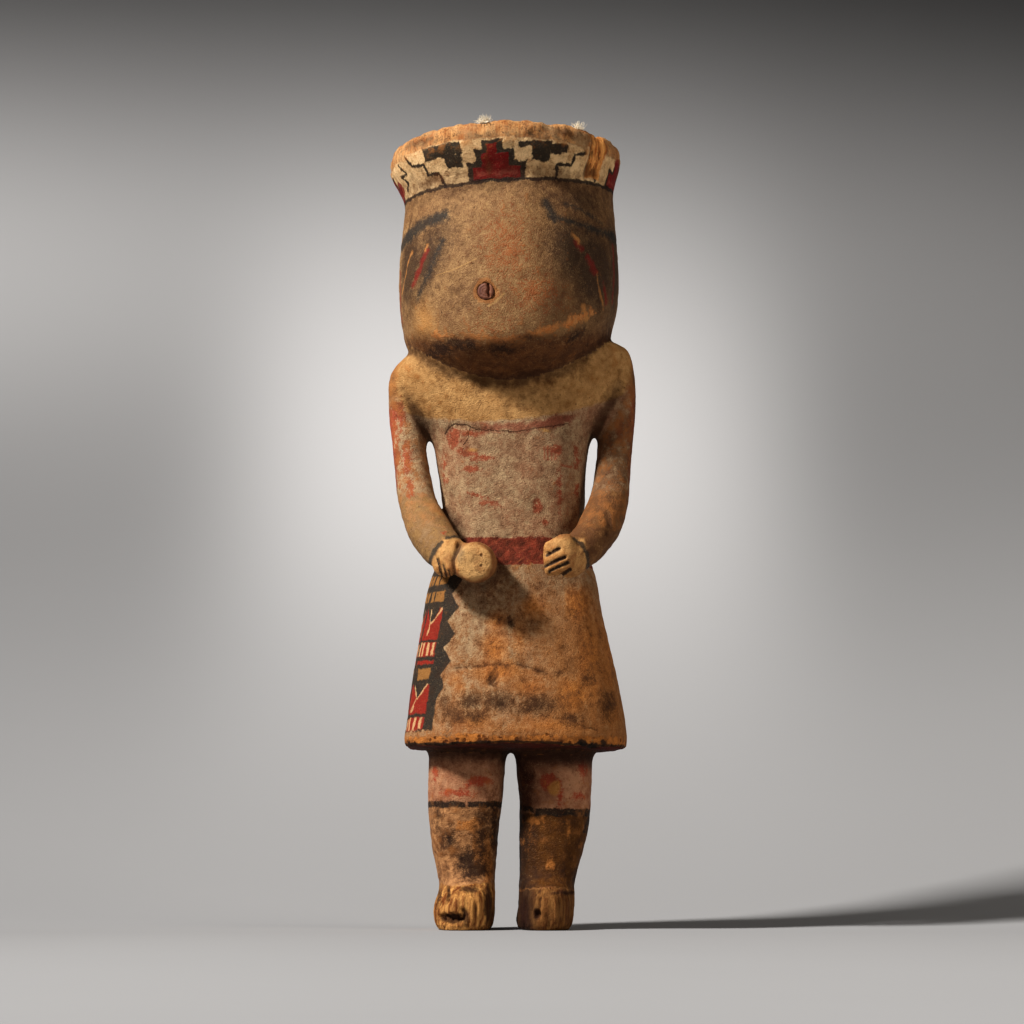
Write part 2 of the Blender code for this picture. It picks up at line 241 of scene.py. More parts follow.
def rod(shape, start, end, radius, sides=40):
    """Adds a closed cylinder between two points."""
    along = end - start
    turn = along.to_track_quat("Z", "Y").to_matrix().to_4x4()
    place = Matrix.Translation((start + end) / 2) @ turn
    bmesh.ops.create_cone(
        shape, cap_ends=True, segments=sides, radius1=radius, radius2=radius,
        depth=along.length, matrix=place,
    )


def mesh_from(shape, name):
    """Ends the work on a shape and gives back its mesh."""
    mesh = bpy.data.meshes.new(name)
    shape.to_mesh(mesh)
    shape.free()
    return mesh


def object_from(mesh, name):
    """Puts a mesh in the scene, at the origin."""
    obj = bpy.data.objects.new(name, mesh)
    scene.collection.objects.link(obj)
    return obj


def settle(obj):
    """Makes what the modifiers of an object do its plain mesh, and takes them off."""
    view = bpy.context.evaluated_depsgraph_get()
    mesh = bpy.data.meshes.new_from_object(obj.evaluated_get(view))
    obj.modifiers.clear()
    obj.data = mesh


def pare_gaps(shape):
    """Cuts a little from both walls of the slits beside the chest, so that the net stays open."""
    places = np.array([vert.co for vert in shape.verts]) / MM
    share = near(outside_trunk(places), outside_arms(places), 2, 4)
    share *= step_up(places[:, 2], 155, 162) * step_down(places[:, 2], 194, 199)
    shape.normal_update()
    for vert, cut in zip(shape.verts, share):
        vert.co -= vert.normal * cut * GAP_PARING[vert.co.x > 0] * MM


def crisp_hem(places):
    """Squares the lower corner of the kilt and lifts its underside flat behind the edge."""
    x, y, z = places.T
    inward = outside_trunk(places)
    floor = np.interp(inward, (-32, -24, -11.5, -7.5, -3.5, -1.5),
                      (66.5, 67, 67.6, 68.1, 69.1, 70.1))
    under = (inward < -1) & (z > UNDER_KILT) & (z < 72)
    lift = (HEM_LEVEL - UNDER_KILT) / (floor - UNDER_KILT)
    lifted = UNDER_KILT + np.minimum(z - UNDER_KILT, floor - UNDER_KILT) * lift
    z = np.where(under, lifted + np.maximum(z - floor, 0), z)
    out, low = inward + HEM_ROUND, HEM_LEVEL + HEM_ROUND - z
    corner = (out > 0) & (low > 0) & (inward < 3)
    reach = np.hypot(out, low) / np.maximum(np.maximum(out, low), 0.1)
    push = np.where(corner, out * (reach - 1), 0)
    z = np.where(corner, np.maximum(z - low * (reach - 1), HEM_LEVEL), z)
    _, wide, deep = WAIST[0]
    way = np.stack([x / wide ** 2, y / deep ** 2], axis=1)
    way = way / np.maximum(np.linalg.norm(way, axis=1), 1e-9)[:, None]
    return np.stack([x + way[:, 0] * push, y + way[:, 1] * push, z], axis=1)


carving = merged(nodes["doll_body"])
pare_gaps(carving)
rod(carving, face_point - outward * PLUG_DEPTH, face_point - outward * 0.1 * MM, PLUG_RADIUS)
body = object_from(mesh_from(carving, "painted_body"), "painted_body")
remesh = body.modifiers.new("net", "REMESH")
remesh.mode = "VOXEL"
remesh.voxel_size = NET
settle(body)
put_points(body.data, crisp_hem(points_of(body.data)))
print("net:", len(body.data.vertices), "points")

# %% [markdown]
# ## Rubbing down
# Sanding is the average of each point with its neighbours, many times over. Large plain forms
# are rubbed until no facet is left, while hands, feet, rims and creases are spared. Rubbing
# shrinks a form, so its broad loss is measured and put back. The hands and feet then get a net
# twice as fine, because their cuts are narrower.

# %% Smooth and refine
RUBBING = 30
RESTORING = 14


def pairs_of(mesh):
    """The two ends of every edge."""
    return read(mesh.edges, "vertices", 2, np.int64)


def neighbour_mean(values, pairs):
    """The average of each point's neighbours, for one or several values a point."""
    count = np.bincount(pairs.ravel(), minlength=len(values))
    columns = values.reshape(len(values), -1).T
    sums = [
        np.bincount(pairs[:, 0], column[pairs[:, 1]], len(values))
        + np.bincount(pairs[:, 1], column[pairs[:, 0]], len(values))
        for column in columns
    ]
    return (np.array(sums) / count).T.reshape(values.shape)


def rubbed(places, pairs, freedom, times):
    """Points after sanding; freedom is 1 where they may move and 0 where they stay."""
    for _ in range(times):
        places = places + 0.5 * freedom[:, None] * (neighbour_mean(places, pairs) - places)
    return places


def spared(places):
    """1 where the form is crisp and has to stay: hands, feet, lip, hem and deep creases."""
    level = places[:, 2]
    trunk, arms = outside_trunk(places), outside_arms(places)
    hands = step_up(trunk, 1, 4) * step_down(level, 150, 158) * step_up(level, 120, 128)
    armpits = near(trunk, arms, 1.5, 3.5) * step_up(level, 136, 140)
    feet = step_down(level, 16, 24)
    lip = step_up(brow_height(places), 7, 13)
    hem = near(level, 70, 4.5, 8)
    neck = near(head_height(places), 0, 2, 4.5)
    return np.max([hands, armpits * (level < 214), feet, lip, hem, neck], axis=0)


def sanded(places, pairs):
    """Smooths the facets away, then gives the whole form its size back."""
    places = rubbed(places, pairs, np.ones(len(places)), 2)
    smooth = rubbed(places, pairs, (1 - spared(places)) ** 2, RUBBING)
    back = places - smooth
    for _ in range(RESTORING):
        back = neighbour_mean(back, pairs)
    return smooth + back


def refine(mesh, chosen):
    """Halves the net on the chosen faces."""
    shape = bmesh.new()
    shape.from_mesh(mesh)
    shape.faces.ensure_lookup_table()
    edges = {edge for index in chosen for edge in shape.faces[index].edges}
    bmesh.ops.subdivide_edges(shape, edges=list(edges), cuts=1, use_grid_fill=True)
    shape.to_mesh(mesh)
    shape.free()


put_points(body.data, sanded(points_of(body.data), pairs_of(body.data)))
centres = read(body.data.polygons, "center") / MM
wanted = (spared(centres) > 0.5) & (centres[:, 1] < 12) & (centres[:, 2] > 1)
hands_or_feet = (centres[:, 2] < 22) | (np.abs(centres[:, 2] - 142) < 14)
refine(body.data, np.flatnonzero(wanted & hands_or_feet))
places = points_of(body.data)
places = rubbed(places, pairs_of(body.data), spared(places) * 0.5, 2)
put_points(body.data, places)
print("finer net:", len(body.data.vertices), "points")

# %% [markdown]
# ## Knife work and breaks
# The relief has one rule for each cause: wide shallow planes from the knife everywhere, chipped
# bare wood on the lip, raised fibres where a strip has torn off, pits along the hem, a gritty
# sash, split grain in the toes, and cuts between the fingers. Each is a field of heights in
# millimetres, and all are added along the surface normals in one go.

# %% Carve the relief
RIGHT_FINGER_CUTS = (
    ((13.4, 143.1), (18.2, 145.4)), ((12.9, 139), (20.2, 142)), ((14.4, 136.9), (21.4, 140.1)),
    ((17.6, 134.6), (22.4, 137.6)),
)
LEFT_FINGER_CUTS = (
    ((-28.8, 142), (-27, 135.4)), ((-26.4, 139.4), (-24.8, 133.6)), ((-24.2, 137), (-23, 132.6)),
)
HAND_GRIP_CUT = ((-20.3, 148), (-22.9, 141), (-21.9, 133))
CHEST_CRACK = (
    (-26.2, 193.4), (-24.6, 195.6), (-22, 196.6), (-18.4, 196), (-14.1, 194.2), (-6.6, 193.4),
)
KILT_CRACK = ((-22.4, 100.4), (-8, 101.6), (2, 101.8), (13, 98.4))
HEM_CRACK = ((16.4, 80.6), (24.6, 81.4), (25.4, 78.6), (33, 76.4))
CRACKS = (
    (0.7, 0.5, CHEST_CRACK), (0.8, 0.6, ((37, 160.4), (37.9, 156), (36.6, 151.8))),
    (0.7, 0.35, KILT_CRACK), (0.7, 0.35, HEM_CRACK),
)
HOLLOWS = (
    (-23.3, 4.7, 4.7, 2.2, 2.6), (-28.4, 12, 0.9, 4, 1.1), (-24.6, 14, 0.8, 3.2, 1),
    (-18.5, 6, 1.5, 3.4, 1.2), (9.4, 6.4, 1.5, 1.9, 2), (10.6, 11.5, 0.7, 4.4, 1),
    (-0.6, 118.2, 1.1, 2.2, 0.8), (-7.4, 95.2, 1.7, 2.6, 0.9), (-4.4, 85.6, 1.3, 1.1, 0.8),
    (-6.4, 99, 0.9, 1.3, 0.5), (-2.6, 98.8, 1, 1.4, 0.5), (13.4, 143.9, 0.8, 0.8, 1),
)


def lumps(places, size, octaves=3, stretch=(1, 1, 1), seed=0):
    """Soft random hills from about -1 to 1; size is the width of one hill in millimetres."""
    scaled = places * (np.array(stretch) / size) + seed
    return np.array([noise.fractal(point, 1, 2, octaves) for point in scaled.tolist()])


def line_gap(places, points):
    """Distance from a polyline, seen from the front."""
    flat = places[:, (0, 2)]
    gaps = []
    for start, end in zip(points, points[1:]):
        a, way = np.array(start), np.array(end) - np.array(start)
        share = np.clip((flat - a) @ way / (way @ way), 0, 1)
        gaps.append(np.linalg.norm(flat - a - share[:, None] * way, axis=1))
    return np.min(gaps, axis=0)


def groove(places, points, half_width, depth):
    """A cut of a knife, deepest on its line."""
    gap = line_gap(places, points) / half_width
    return -depth * np.exp(-gap * gap)


def relief(places):
    """Heights to add along the normals, in millimetres."""
    x, y, z = places.T
    front = step_up(-y, 2, 8)
    arms, trunk = outside_arms(places), outside_trunk(places)
    on_hand = front * step_up(trunk - arms, 1, 3)
    head, brow, arc = head_height(places), brow_height(places), head_arc(places)

    planes = 0.36 * lumps(places, 12, 2, (1, 1, 0.5))
    planes += 0.17 * lumps(places, 3.2, 3, seed=7)
    lip = step_up(brow, 11, 15)
    chips = lip * (0.5 * lumps(places, 3.2, 4, seed=3) + 0.6 * lumps(places, 8, 2, seed=5))
    from_middle = np.hypot(x - HEAD_MIDDLE, y)
    dish = step_down(from_middle, 36, 40) * step_up(z, 300, 303)
    chips += dish * 0.5 * lumps(places, 5, 4, (1, 0.3, 1), seed=9)

    strip = step_up(arc, 33, 35) * step_down(arc, 40.5, 43) * step_up(brow, 1, 3.5)
    strip *= step_up(from_middle, 34, 38)
    fibres = lumps(places, 1.5, 2, (1, 1, 0.10), seed=11)
    torn = strip * (-0.9 + 0.75 * fibres)

    hem = near(z, 71.5, 3, 5) * step_up(trunk, -3, -1.5) * (arms > 2)
    nicks = np.minimum(lumps(places, 2.4, 3, seed=13), 0)
    sash = near(z, 146, 5.2, 6.4) * step_down(trunk, 1, 2.5)
    grit = lumps(places, 2, 3, seed=17)

    toes = step_down(z, 14, 18) * step_up(-y, 1, 6)
    splits = lumps(places, 1.9, 3, (1, 1, 0.10), seed=19)
    legs = step_down(z, 60, 66) * (1 - toes)

    height = planes + chips + torn + hem * (0.75 * nicks) + sash * 0.45 * grit
    height += toes * (0.75 * splits - 0.2) + legs * 0.16 * lumps(places, 4, 3, seed=23)
    for cuts, depth, side in ((RIGHT_FINGER_CUTS, 0.95, x > 5), (LEFT_FINGER_CUTS, 0.8, x < -5)):
        for cut in cuts:
            height += groove(places, cut, 0.62, depth) * on_hand * side
    height += groove(places, HAND_GRIP_CUT, 0.9, 1.3) * front * step_up(trunk, 2, 5)
    for half, depth, points in CRACKS:
        height += groove(places, points, half, depth) * front
    for cx, cz, wide, tall, depth in HOLLOWS:
        gap = np.hypot((x - cx) / wide, (z - cz) / tall) + 0.35 * lumps(places, 2.2, 2, seed=29)
        height -= depth * front * step_down(gap, 0.55, 1.25)
    face = step_up(head, 0, 6) * step_up(-brow, 3, 8)
    height += face * 0.12 * lumps(places, 6, 3, seed=31)
    return np.where(z < 0.6, 0, height)


def normals_of(mesh):
    """The surface normal at every point."""
    return read(mesh.vertex_normals, "vector")


heights = relief(places)
places = places + normals_of(body.data) * heights[:, None]
places[:, 2] = np.maximum(places[:, 2], 0)
put_points(body.data, places)
print("relief from", round(heights.min(), 2), "to", round(heights.max(), 2), "mm")

# %% [markdown]
# ## Boring the socket
# The peg that once carried the snout sits in a round hole. A clean cylinder is cut out of the
# fine skin with a Boolean, which keeps the rim sharp at any zoom.

# %% Bore the socket
SOCKET_RADIUS = 3.35 * MM
SOCKET_DEPTH = 6.2 * MM

drill_shape = bmesh.new()
rod(drill_shape, face_point - outward * SOCKET_DEPTH, face_point + outward * 3 * MM,
    SOCKET_RADIUS, 56)
drill = object_from(mesh_from(drill_shape, "drill"), "drill")
bore = body.modifiers.new("bore", "BOOLEAN")
bore.operation = "DIFFERENCE"
bore.solver = "EXACT"
bore.object = drill
settle(body)
bpy.data.objects.remove(drill)
body.data.materials.clear()
body.data.shade_smooth()
body.data.calc_loop_triangles()
print("body:", len(body.data.loop_triangles), "triangles")

# %% [markdown]
# ## Marks that the paint needs
# A painted edge has to be crisp, but where an arm ends and the chest begins can't be told from
# a point's place alone. So the fields are stored on the points as named attributes, in
# millimetres. The material reads them and cuts them off where it likes, and because they change
# evenly the cut stays sharp between the points.

# %% Store the fields as attributes
def store(mesh, name, values):
    """Keeps one number a point under a name that a material can read."""
    layer = mesh.attributes.new(name, "FLOAT", "POINT")
    layer.data.foreach_set("value", np.ascontiguousarray(values, dtype=np.float32))


def bend(mesh, reach):
    """How sharply the surface bulges (above 0) or dips (below 0) within a few steps."""
    places, pairs = points_of(mesh), pairs_of(mesh)
    mean = places
    for _ in range(reach):
        mean = neighbour_mean(mean, pairs)
    bulge = ((places - mean) * normals_of(mesh)).sum(axis=1)
    return neighbour_mean(bulge, pairs)


places = points_of(body.data)
on_arms, on_trunk = outside_arms(places), outside_trunk(places)
on_grip = along_rod(places, *GRIP)
facing = normals_of(body.data)
store(body.data, "arm", on_trunk - on_arms)
store(body.data, "grip", np.minimum(on_trunk, on_arms + 1) - on_grip)
store(body.data, "down", -facing[:, 2])
store(body.data, "bulge", bend(body.data, 3))
store(body.data, "form", bend(body.data, 14))
print("stored:", [layer.name for layer in body.data.attributes if layer.data_type == "FLOAT"])

# %% [markdown]
# ## Writing materials down as sums
# Every paint edge below is a little sum on the place of a point: above this line, between those
# two, within so many millimetres of a stroke. A Math node for each sign would hide that, so a
# wire of a node tree is wrapped in a small class. Adding or multiplying wires adds the nodes.

# %% Wires
class Wire:
    """A value in a node tree. Sums on it add Math nodes."""

    def __init__(self, tree, socket):
        self.tree = tree
        self.socket = socket

    def __neg__(self):
        return sum_node("MULTIPLY", self, -1)

    def __abs__(self):
        return sum_node("ABSOLUTE", self)


for sign, operation in (("add", "ADD"), ("sub", "SUBTRACT"), ("mul", "MULTIPLY")):
    setattr(Wire, f"__{sign}__", lambda one, two, kind=operation: sum_node(kind, one, two))
    setattr(Wire, f"__r{sign}__", lambda one, two, kind=operation: sum_node(kind, two, one))


def put(tree, kind, values=None, **settings):
    """Adds a node, sets its options and feeds its sockets."""
    made = tree.nodes.new(kind)
    for name, value in settings.items():
        setattr(made, name, value)
    for key, value in (values or {}).items():
        if isinstance(value, Wire):
            tree.links.new(value.socket, made.inputs[key])
        else:
            made.inputs[key].default_value = value
    return made


def wire_from(tree, kind, values=None, output=0, **settings):
    """Adds a node and gives back one of its outputs."""
    return Wire(tree, put(tree, kind, values, **settings).outputs[output])


def tree_of(values):
    return next(value.tree for value in values if isinstance(value, Wire))


def sum_node(operation, *values, clamp=False):
    return wire_from(tree_of(values), "ShaderNodeMath", dict(enumerate(values)),
                     operation=operation, use_clamp=clamp)


def least(first, *others):
    for other in others:
        first = sum_node("MINIMUM", first, other)
    return first


def most(first, *others):
    for other in others:
        first = sum_node("MAXIMUM", first, other)
    return first


def inside(depth, blur):
    """1 where depth is above zero and 0 below, with a soft step of this width."""
    return sum_node("MULTIPLY_ADD", depth, 0.5 / blur, 0.5, clamp=True)


def clipped(value):
    return sum_node("ADD", value, 0, clamp=True)


def between(value, low, high):
    """Depth inside a range."""
    return (high - low) / 2 - abs(value - (high + low) / 2)


def box(across, up, left, right, low, high):
    """Depth inside a rectangle."""
    return least(between(across, left, right), between(up, low, high))


def distance(across, up, x, y):
    """Distance from one point of a flat place."""
    return sum_node("SQRT", (across - x) * (across - x) + (up - y) * (up - y))


def vector_of(x, y, z=0):
    return wire_from(tree_of((x, y, z)), "ShaderNodeCombineXYZ", {0: x, 1: y, 2: z})


def vector_node(operation, *values):
    output = "Value" if operation in ("LENGTH", "DOT_PRODUCT") else "Vector"
    return wire_from(tree_of(values), "ShaderNodeVectorMath", dict(enumerate(values)), output,
                     operation=operation)


def parts_of(vector):
    made = put(vector.tree, "ShaderNodeSeparateXYZ", {0: vector})
    return [Wire(vector.tree, socket) for socket in made.outputs]


def blend(share, under, over):
    """Colour over another colour, by a mask."""
    return wire_from(tree_of((share, under, over)), "ShaderNodeMix", {0: share, 6: under, 7: over},
                     2, data_type="RGBA")


def pigment(red, green, blue):
    """A colour given as on a screen, turned into amounts of light."""
    return tuple((part / 255) ** 2.2 for part in (red, green, blue)) + (1,)


print("wires ready")

# %% [markdown]
# ## Clouds, grain and pits
# Three kinds of chance come back in every finish: plain cloudy noise, noise drawn out along the
# grain, and small round pits. Noise around 0.5 is shifted to run around 0, so that it can be
# added to a distance in millimetres to make an edge ragged.

# %% Chance textures
EVEN = (1, 1, 1)


def spread(place, size, stretch, start):
    """The place in cells of this size, drawn out along an axis and started elsewhere."""
    scale = tuple(share / size for share in stretch)
    return wire_from(place.tree, "ShaderNodeMapping", {0: place, 1: start, 3: scale})


def cloud(place, size, detail=3, rough=0.55, stretch=EVEN, seed=0):
    """Noise around zero, about -0.3 to 0.3; size is in the units of the place."""
    moved = spread(place, size, stretch, (seed, seed * 1.3, seed * 0.7))
    return wire_from(place.tree, "ShaderNodeTexNoise", {
        "Vector": moved, "Scale": 1, "Detail": detail, "Roughness": rough,
    }) - 0.5


def dots(place, size, seed=0):
    """Distance from the nearest of many scattered points, in cells."""
    return wire_from(place.tree, "ShaderNodeTexVoronoi", {
        "Vector": spread(place, size, EVEN, (seed, seed, seed)), "Scale": 1, "Randomness": 1,
    }, "Distance")


print("chance textures ready")

# %% [markdown]
# ## Shared effects as node groups
# The body and its peg are the same wood with the same handling dirt, and straight brush strokes
# come back dozens of times. Each is built once as a node group with named sockets, so that a
# change in one place reaches them all. A group gives out only colours, masks and heights.

# %% Node groups
ORIGIN = (0, 0, 0)
KINDS = {3: "Vector", 4: "Color"}


def new_group(name, inputs):
    """An empty shader group; gives the tree and its inputs, each named with its usual value."""
    tree = bpy.data.node_groups.new(name, "ShaderNodeTree")
    for title, usual in inputs.items():
        kind = KINDS[len(usual)] if isinstance(usual, tuple) else "Float"
        socket = tree.interface.new_socket(title, in_out="INPUT", socket_type="NodeSocket" + kind)
        socket.default_value = usual
    start = tree.nodes.new("NodeGroupInput")
    return tree, [Wire(tree, socket) for socket in start.outputs[:len(inputs)]]


def close_group(tree, results):
    """Names what a group gives out and wires it up."""
    for title in results:
        kind = "Color" if title == "Colour" else "Float"
        tree.interface.new_socket(title, in_out="OUTPUT", socket_type="NodeSocket" + kind)
    put(tree, "NodeGroupOutput", results)
    return tree


def use(group, tree, values):
    """Places a group in a tree and gives back its outputs by name."""
    made = put(tree, "ShaderNodeGroup", values, node_tree=group)
    return {socket.name: Wire(tree, socket) for socket in made.outputs}


def brush_line_group():
    """Depth inside one straight brush stroke on a flat place."""
    tree, (place, start, finish, half) = new_group("Brush line", {
        "Place": ORIGIN, "From": ORIGIN, "To": (1, 0, 0), "Half width": 1,
    })
    offset = vector_node("SUBTRACT", place, start)
    way = vector_node("SUBTRACT", finish, start)
    share = sum_node("DIVIDE", vector_node("DOT_PRODUCT", offset, way),
                     vector_node("DOT_PRODUCT", way, way), clamp=True)
    foot = vector_node("MULTIPLY", way, vector_of(share, share, share))
    gap = vector_node("LENGTH", vector_node("SUBTRACT", offset, foot))
    return close_group(tree, {"Depth": half - gap})


def root_wood_group():
    """Bare root wood: straight fine grain, pores and a few dark splits, along Z."""
    tree, (place, pale, dark, split) = new_group("Root wood", {
        "Place": ORIGIN, "Pale": pigment(214, 160, 100), "Dark": pigment(150, 84, 38),
        "Split": 0.5,
    })
    fibre = cloud(place, 0.8, 3, 0.6, (1, 1, 0.07))
    band = cloud(place, 5, 3, 0.6, (1, 1, 0.18), 4)
    crack = cloud(place, 1.9, 2, 0.5, (1, 1, 0.045), 9)
    deep = inside(crack - 0.23 + split * 0.10, 0.03)
    colour = blend(clipped(0.5 + fibre * 1.6 + band * 1.8), pale, dark)
    colour = blend(deep * split, colour, pigment(58, 30, 14))
    return close_group(tree, {"Colour": colour, "Height": fibre * 0.35 - deep * 0.3})


def grime_group():
    """Handling dirt: cloudy, and thicker where the surface dips."""
    tree, (place, bulge, amount, size) = new_group("Handling dirt", {
        "Place": ORIGIN, "Bulge": 0, "Amount": 0.5, "Size": 6,
    })
    scaled = vector_node("DIVIDE", place, vector_of(size, size, size))
    haze = cloud(scaled, 1, 5, 0.68, seed=21)
    return close_group(tree, {"Mask": clipped(amount + haze * 1.7 - bulge * 1.6)})


BRUSH_LINE = brush_line_group()
ROOT_WOOD = root_wood_group()
HANDLING_DIRT = grime_group()
print("groups:", [group.name for group in bpy.data.node_groups])

# %% [markdown]
# ## Drawing helpers
# A painter works with strokes, dabs and filled steps. These helpers draw them on a flat place,
# such as across and up as seen from the front, or round the head and up from the brow line.
# Several strokes or dabs are joined by taking the greatest depth.

# %% Strokes and dabs
def strokes(place, lines):
    """Depth inside polylines; each line is its half width and its points."""
    return most(*[
        use(BRUSH_LINE, place.tree, {
            "Place": place, "From": (*start, 0), "To": (*end, 0), "Half width": half,
        })["Depth"]
        for half, *points in lines for start, end in zip(points, points[1:])
    ])


def dab(place, x, y, wide, tall, slant=0):
    """Depth inside an oval; slant is in degrees."""
    local = wire_from(place.tree, "ShaderNodeMapping", {
        0: place, 1: (x, y, 0), 2: (0, 0, math.radians(slant)), 3: (wide, tall, 1),
    }, vector_type="TEXTURE")
    slim = min(wide, tall)
    return sum_node("MULTIPLY_ADD", vector_node("LENGTH", local), -slim, slim)


def dabs(place, ovals):
    """Depth inside ovals: x, y, half width, half height and perhaps a slant."""
    return most(*[dab(place, *oval) for oval in ovals])


def boxes(across, up, corners):
    """Depth inside any of several rectangles: left, right, low, high."""
    return most(*[box(across, up, *corner) for corner in corners])


class Coats:
    """The colour, roughness and height of a surface while coats are laid on it."""

    def __init__(self, chance, colour, rough, height):
        self.chance = chance
        self.colour = colour
        self.rough = rough
        self.height = height

    def lay(self, mask, colour, rough=None, height=None):
        self.colour = blend(mask, self.colour, colour)
        if rough is not None:
            self.rough = self.rough + mask * (rough - self.rough)
        if height is not None:
            self.height = self.height + mask * height

    def mottled(self, start, by_middle, by_small, pale, dark):
        """One colour clouded with another."""
        _, middle, small, *_ = self.chance
        return blend(clipped(start + middle * by_middle + small * by_small), pale, dark)


def new_material(name):
    """A material without nodes yet, and its tree."""
    material = bpy.data.materials.new(name)
    material.use_nodes = True
    material.node_tree.nodes.clear()
    return material, material.node_tree


def close_material(tree, shader, bump=None):
    """Ends a material; shader and bump are what goes into those two nodes."""
    if bump:
        shader["Normal"] = wire_from(tree, "ShaderNodeBump", bump)
    surface = wire_from(tree, "ShaderNodeBsdfPrincipled", shader)
    put(tree, "ShaderNodeOutputMaterial", {0: surface})


print("drawing helpers ready")

# %% [markdown]
# ## The painted body
# The material is built in the order of the real coats: bare wood, pale clay ground, colours,
# rubbing, dirt, and over them painted shade where the doll is shaded. Face, headband, trunk,
# kilt and legs get a material each, because one tree with every pattern would be too long for
# the renderer. All five read the same places and the same chance textures, so that nothing
# shows where they meet. A slow wobble is added to the places that the patterns use, because a
# brush held by hand never draws a straight line.

# %% Places, wood and ground
CLAY = pigment(188, 158, 122)
CLAY_GREY = pigment(150, 126, 98)
CLAY_PINK = pigment(180, 134, 102)
WOOD_PALE = pigment(216, 160, 102)
WOOD_DARK = pigment(140, 74, 30)
NEVER = 900


def attribute(tree, name):
    return wire_from(tree, "ShaderNodeAttribute", None, "Fac", attribute_name=name)


def millimetres(tree):
    """The place of a point on its own object, in millimetres."""
    source = wire_from(tree, "ShaderNodeTexCoord", None, "Object")
    return vector_node("MULTIPLY", source, (1000, 1000, 1000))


class Skin:
    """One material of the body, with its places, its chance textures and its coats."""

    def __init__(self, name):
        self.material, self.tree = new_material(name)
        self.place = millimetres(self.tree)
        x, y, z = parts_of(self.place)
        self.chance = [
            cloud(self.place, 26, 4, 0.6, seed=1),
            cloud(self.place, 7, 4, 0.62, seed=2),
            cloud(self.place, 2.4, 4, 0.65, seed=3),
            cloud(self.place, 0.5, 3, 0.6, seed=5),
            cloud(self.place, 4.5, 4, 0.62, (1, 1, 0.14), 6),
        ]
        self.wobble = cloud(self.place, 4.2, 2, 0.5, seed=7) * 1.7
        px = x + self.wobble
        pz = z + cloud(self.place, 4.6, 2, 0.5, seed=8) * 1.9
        self.places = [self.place, x, y, z, px, pz, vector_of(px, pz), inside(-y - 4, 3)]

    def lay_ground(self, bare):
        """Bare wood where bare is above zero and a thin coat of clay elsewhere."""
        broad, middle, small, tiny, _ = self.chance
        wood = use(ROOT_WOOD, self.tree, {
            "Place": self.place, "Pale": WOOD_PALE, "Dark": WOOD_DARK, "Split": 0.6,
        })
        self.ground = 1 - inside(bare, 0.35)
        self.coats = Coats(self.chance, wood["Colour"], 0.72,
                           wood["Height"] * (0.35 - self.ground * 0.32))
        self.clay = blend(clipped(0.5 + middle * 1.3 + small * 1.5 + tiny), CLAY, CLAY_GREY)
        self.clay = blend(clipped(broad * 1.6 + small * 1.4 + 0.25), self.clay, CLAY_PINK)
        self.coats.lay(self.ground, self.clay, 0.88, small * 0.3 + 0.08)
        return self.coats

    def finish(self):
        """Rubbing, dirt with painted shade in the hollows, and specks over all the coats, and the
        shader.
        """
        small, tiny = self.chance[2:4]
        coats, bulge = self.coats, attribute(self.tree, "bulge")
        grit = tiny * 3.2 + small * 1.2
        coats.lay(clipped(grit - 0.08) * 0.55, pigment(70, 42, 22))
        coats.lay(clipped(-0.28 - grit) * 0.5 * self.ground, pigment(206, 166, 118))
        high_spots = bulge * 5 + small * 1.6 + tiny * 0.8 - 0.62
        coats.lay(inside(high_spots, 0.22) * self.ground * 0.4, pigment(190, 124, 66), 0.68)
        form = attribute(self.tree, "form")
        # Dirt and painted shade together: darker brown where the surface dips, in hollows and
        # creases.
        hollow_dirt_and_shade = form * -0.55 - bulge * 3 + small * 0.9 - 0.28
        coats.lay(inside(hollow_dirt_and_shade, 0.35) * 0.65, pigment(48, 26, 14), 0.85)
        dirt = use(HANDLING_DIRT, self.tree, {
            "Place": self.place, "Bulge": bulge, "Amount": 0.12, "Size": 9,
        })["Mask"]
        coats.lay(dirt * 0.55, pigment(80, 50, 28))
        specks = dots(self.place, 2.9, seed=3)
        coats.lay(inside(0.10 - specks + tiny * 0.25, 0.04) * 0.5, pigment(50, 30, 18), 0.9)
        close_material(self.tree, {
            "Base Color": coats.colour, "Roughness": coats.rough, "Specular IOR Level": 0.28,
        }, {"Height": coats.height + tiny * 0.42 + small * 0.14, "Distance": MM})
        print(self.material.name, len(self.tree.nodes), "nodes")


print("coats ready")

# %% [markdown]
# ### Face
# The face was ochre over clay and has gone a burnished olive brown from handling. Black bands
# cross it below the brow, with curved stripes in red, black and tan down each cheek. The lower
# edge is rubbed through to orange wood. The underside of the chin is painted dark brown as
# shade, with near-black burn marks along its front. The right side of the face is painted
# darker as shade, and a golden patch low on the left is a painted highlight.

# %% Face
FACE_OCHRE = pigment(168, 131, 88)
FACE_BROWN = pigment(112, 78, 50)
FACE_ORANGE = pigment(176, 96, 48)
TEAR_EDGE_DARK = pigment(52, 38, 28)
BLACK = pigment(50, 48, 44)
BAND_BLACK = pigment(19, 19, 18)
DARK_RED = pigment(128, 36, 28)
TAN = pigment(200, 138, 78)


def read_head(skin):
    """The places that head patterns use: round the head, above the brow, above the shoulders."""
    middle = skin.chance[1]
    _, x, y, z, px, pz, *_ = skin.places
    arc = sum_node("ARCTAN2", x - HEAD_MIDDLE, -y) * (math.degrees(1) * ARC_MM) + skin.wobble
    brow = pz - px * BROW_SLOPE - BROW_LEVEL
    head = z - neck_line(x) + middle * 1.5
    return arc, brow, head


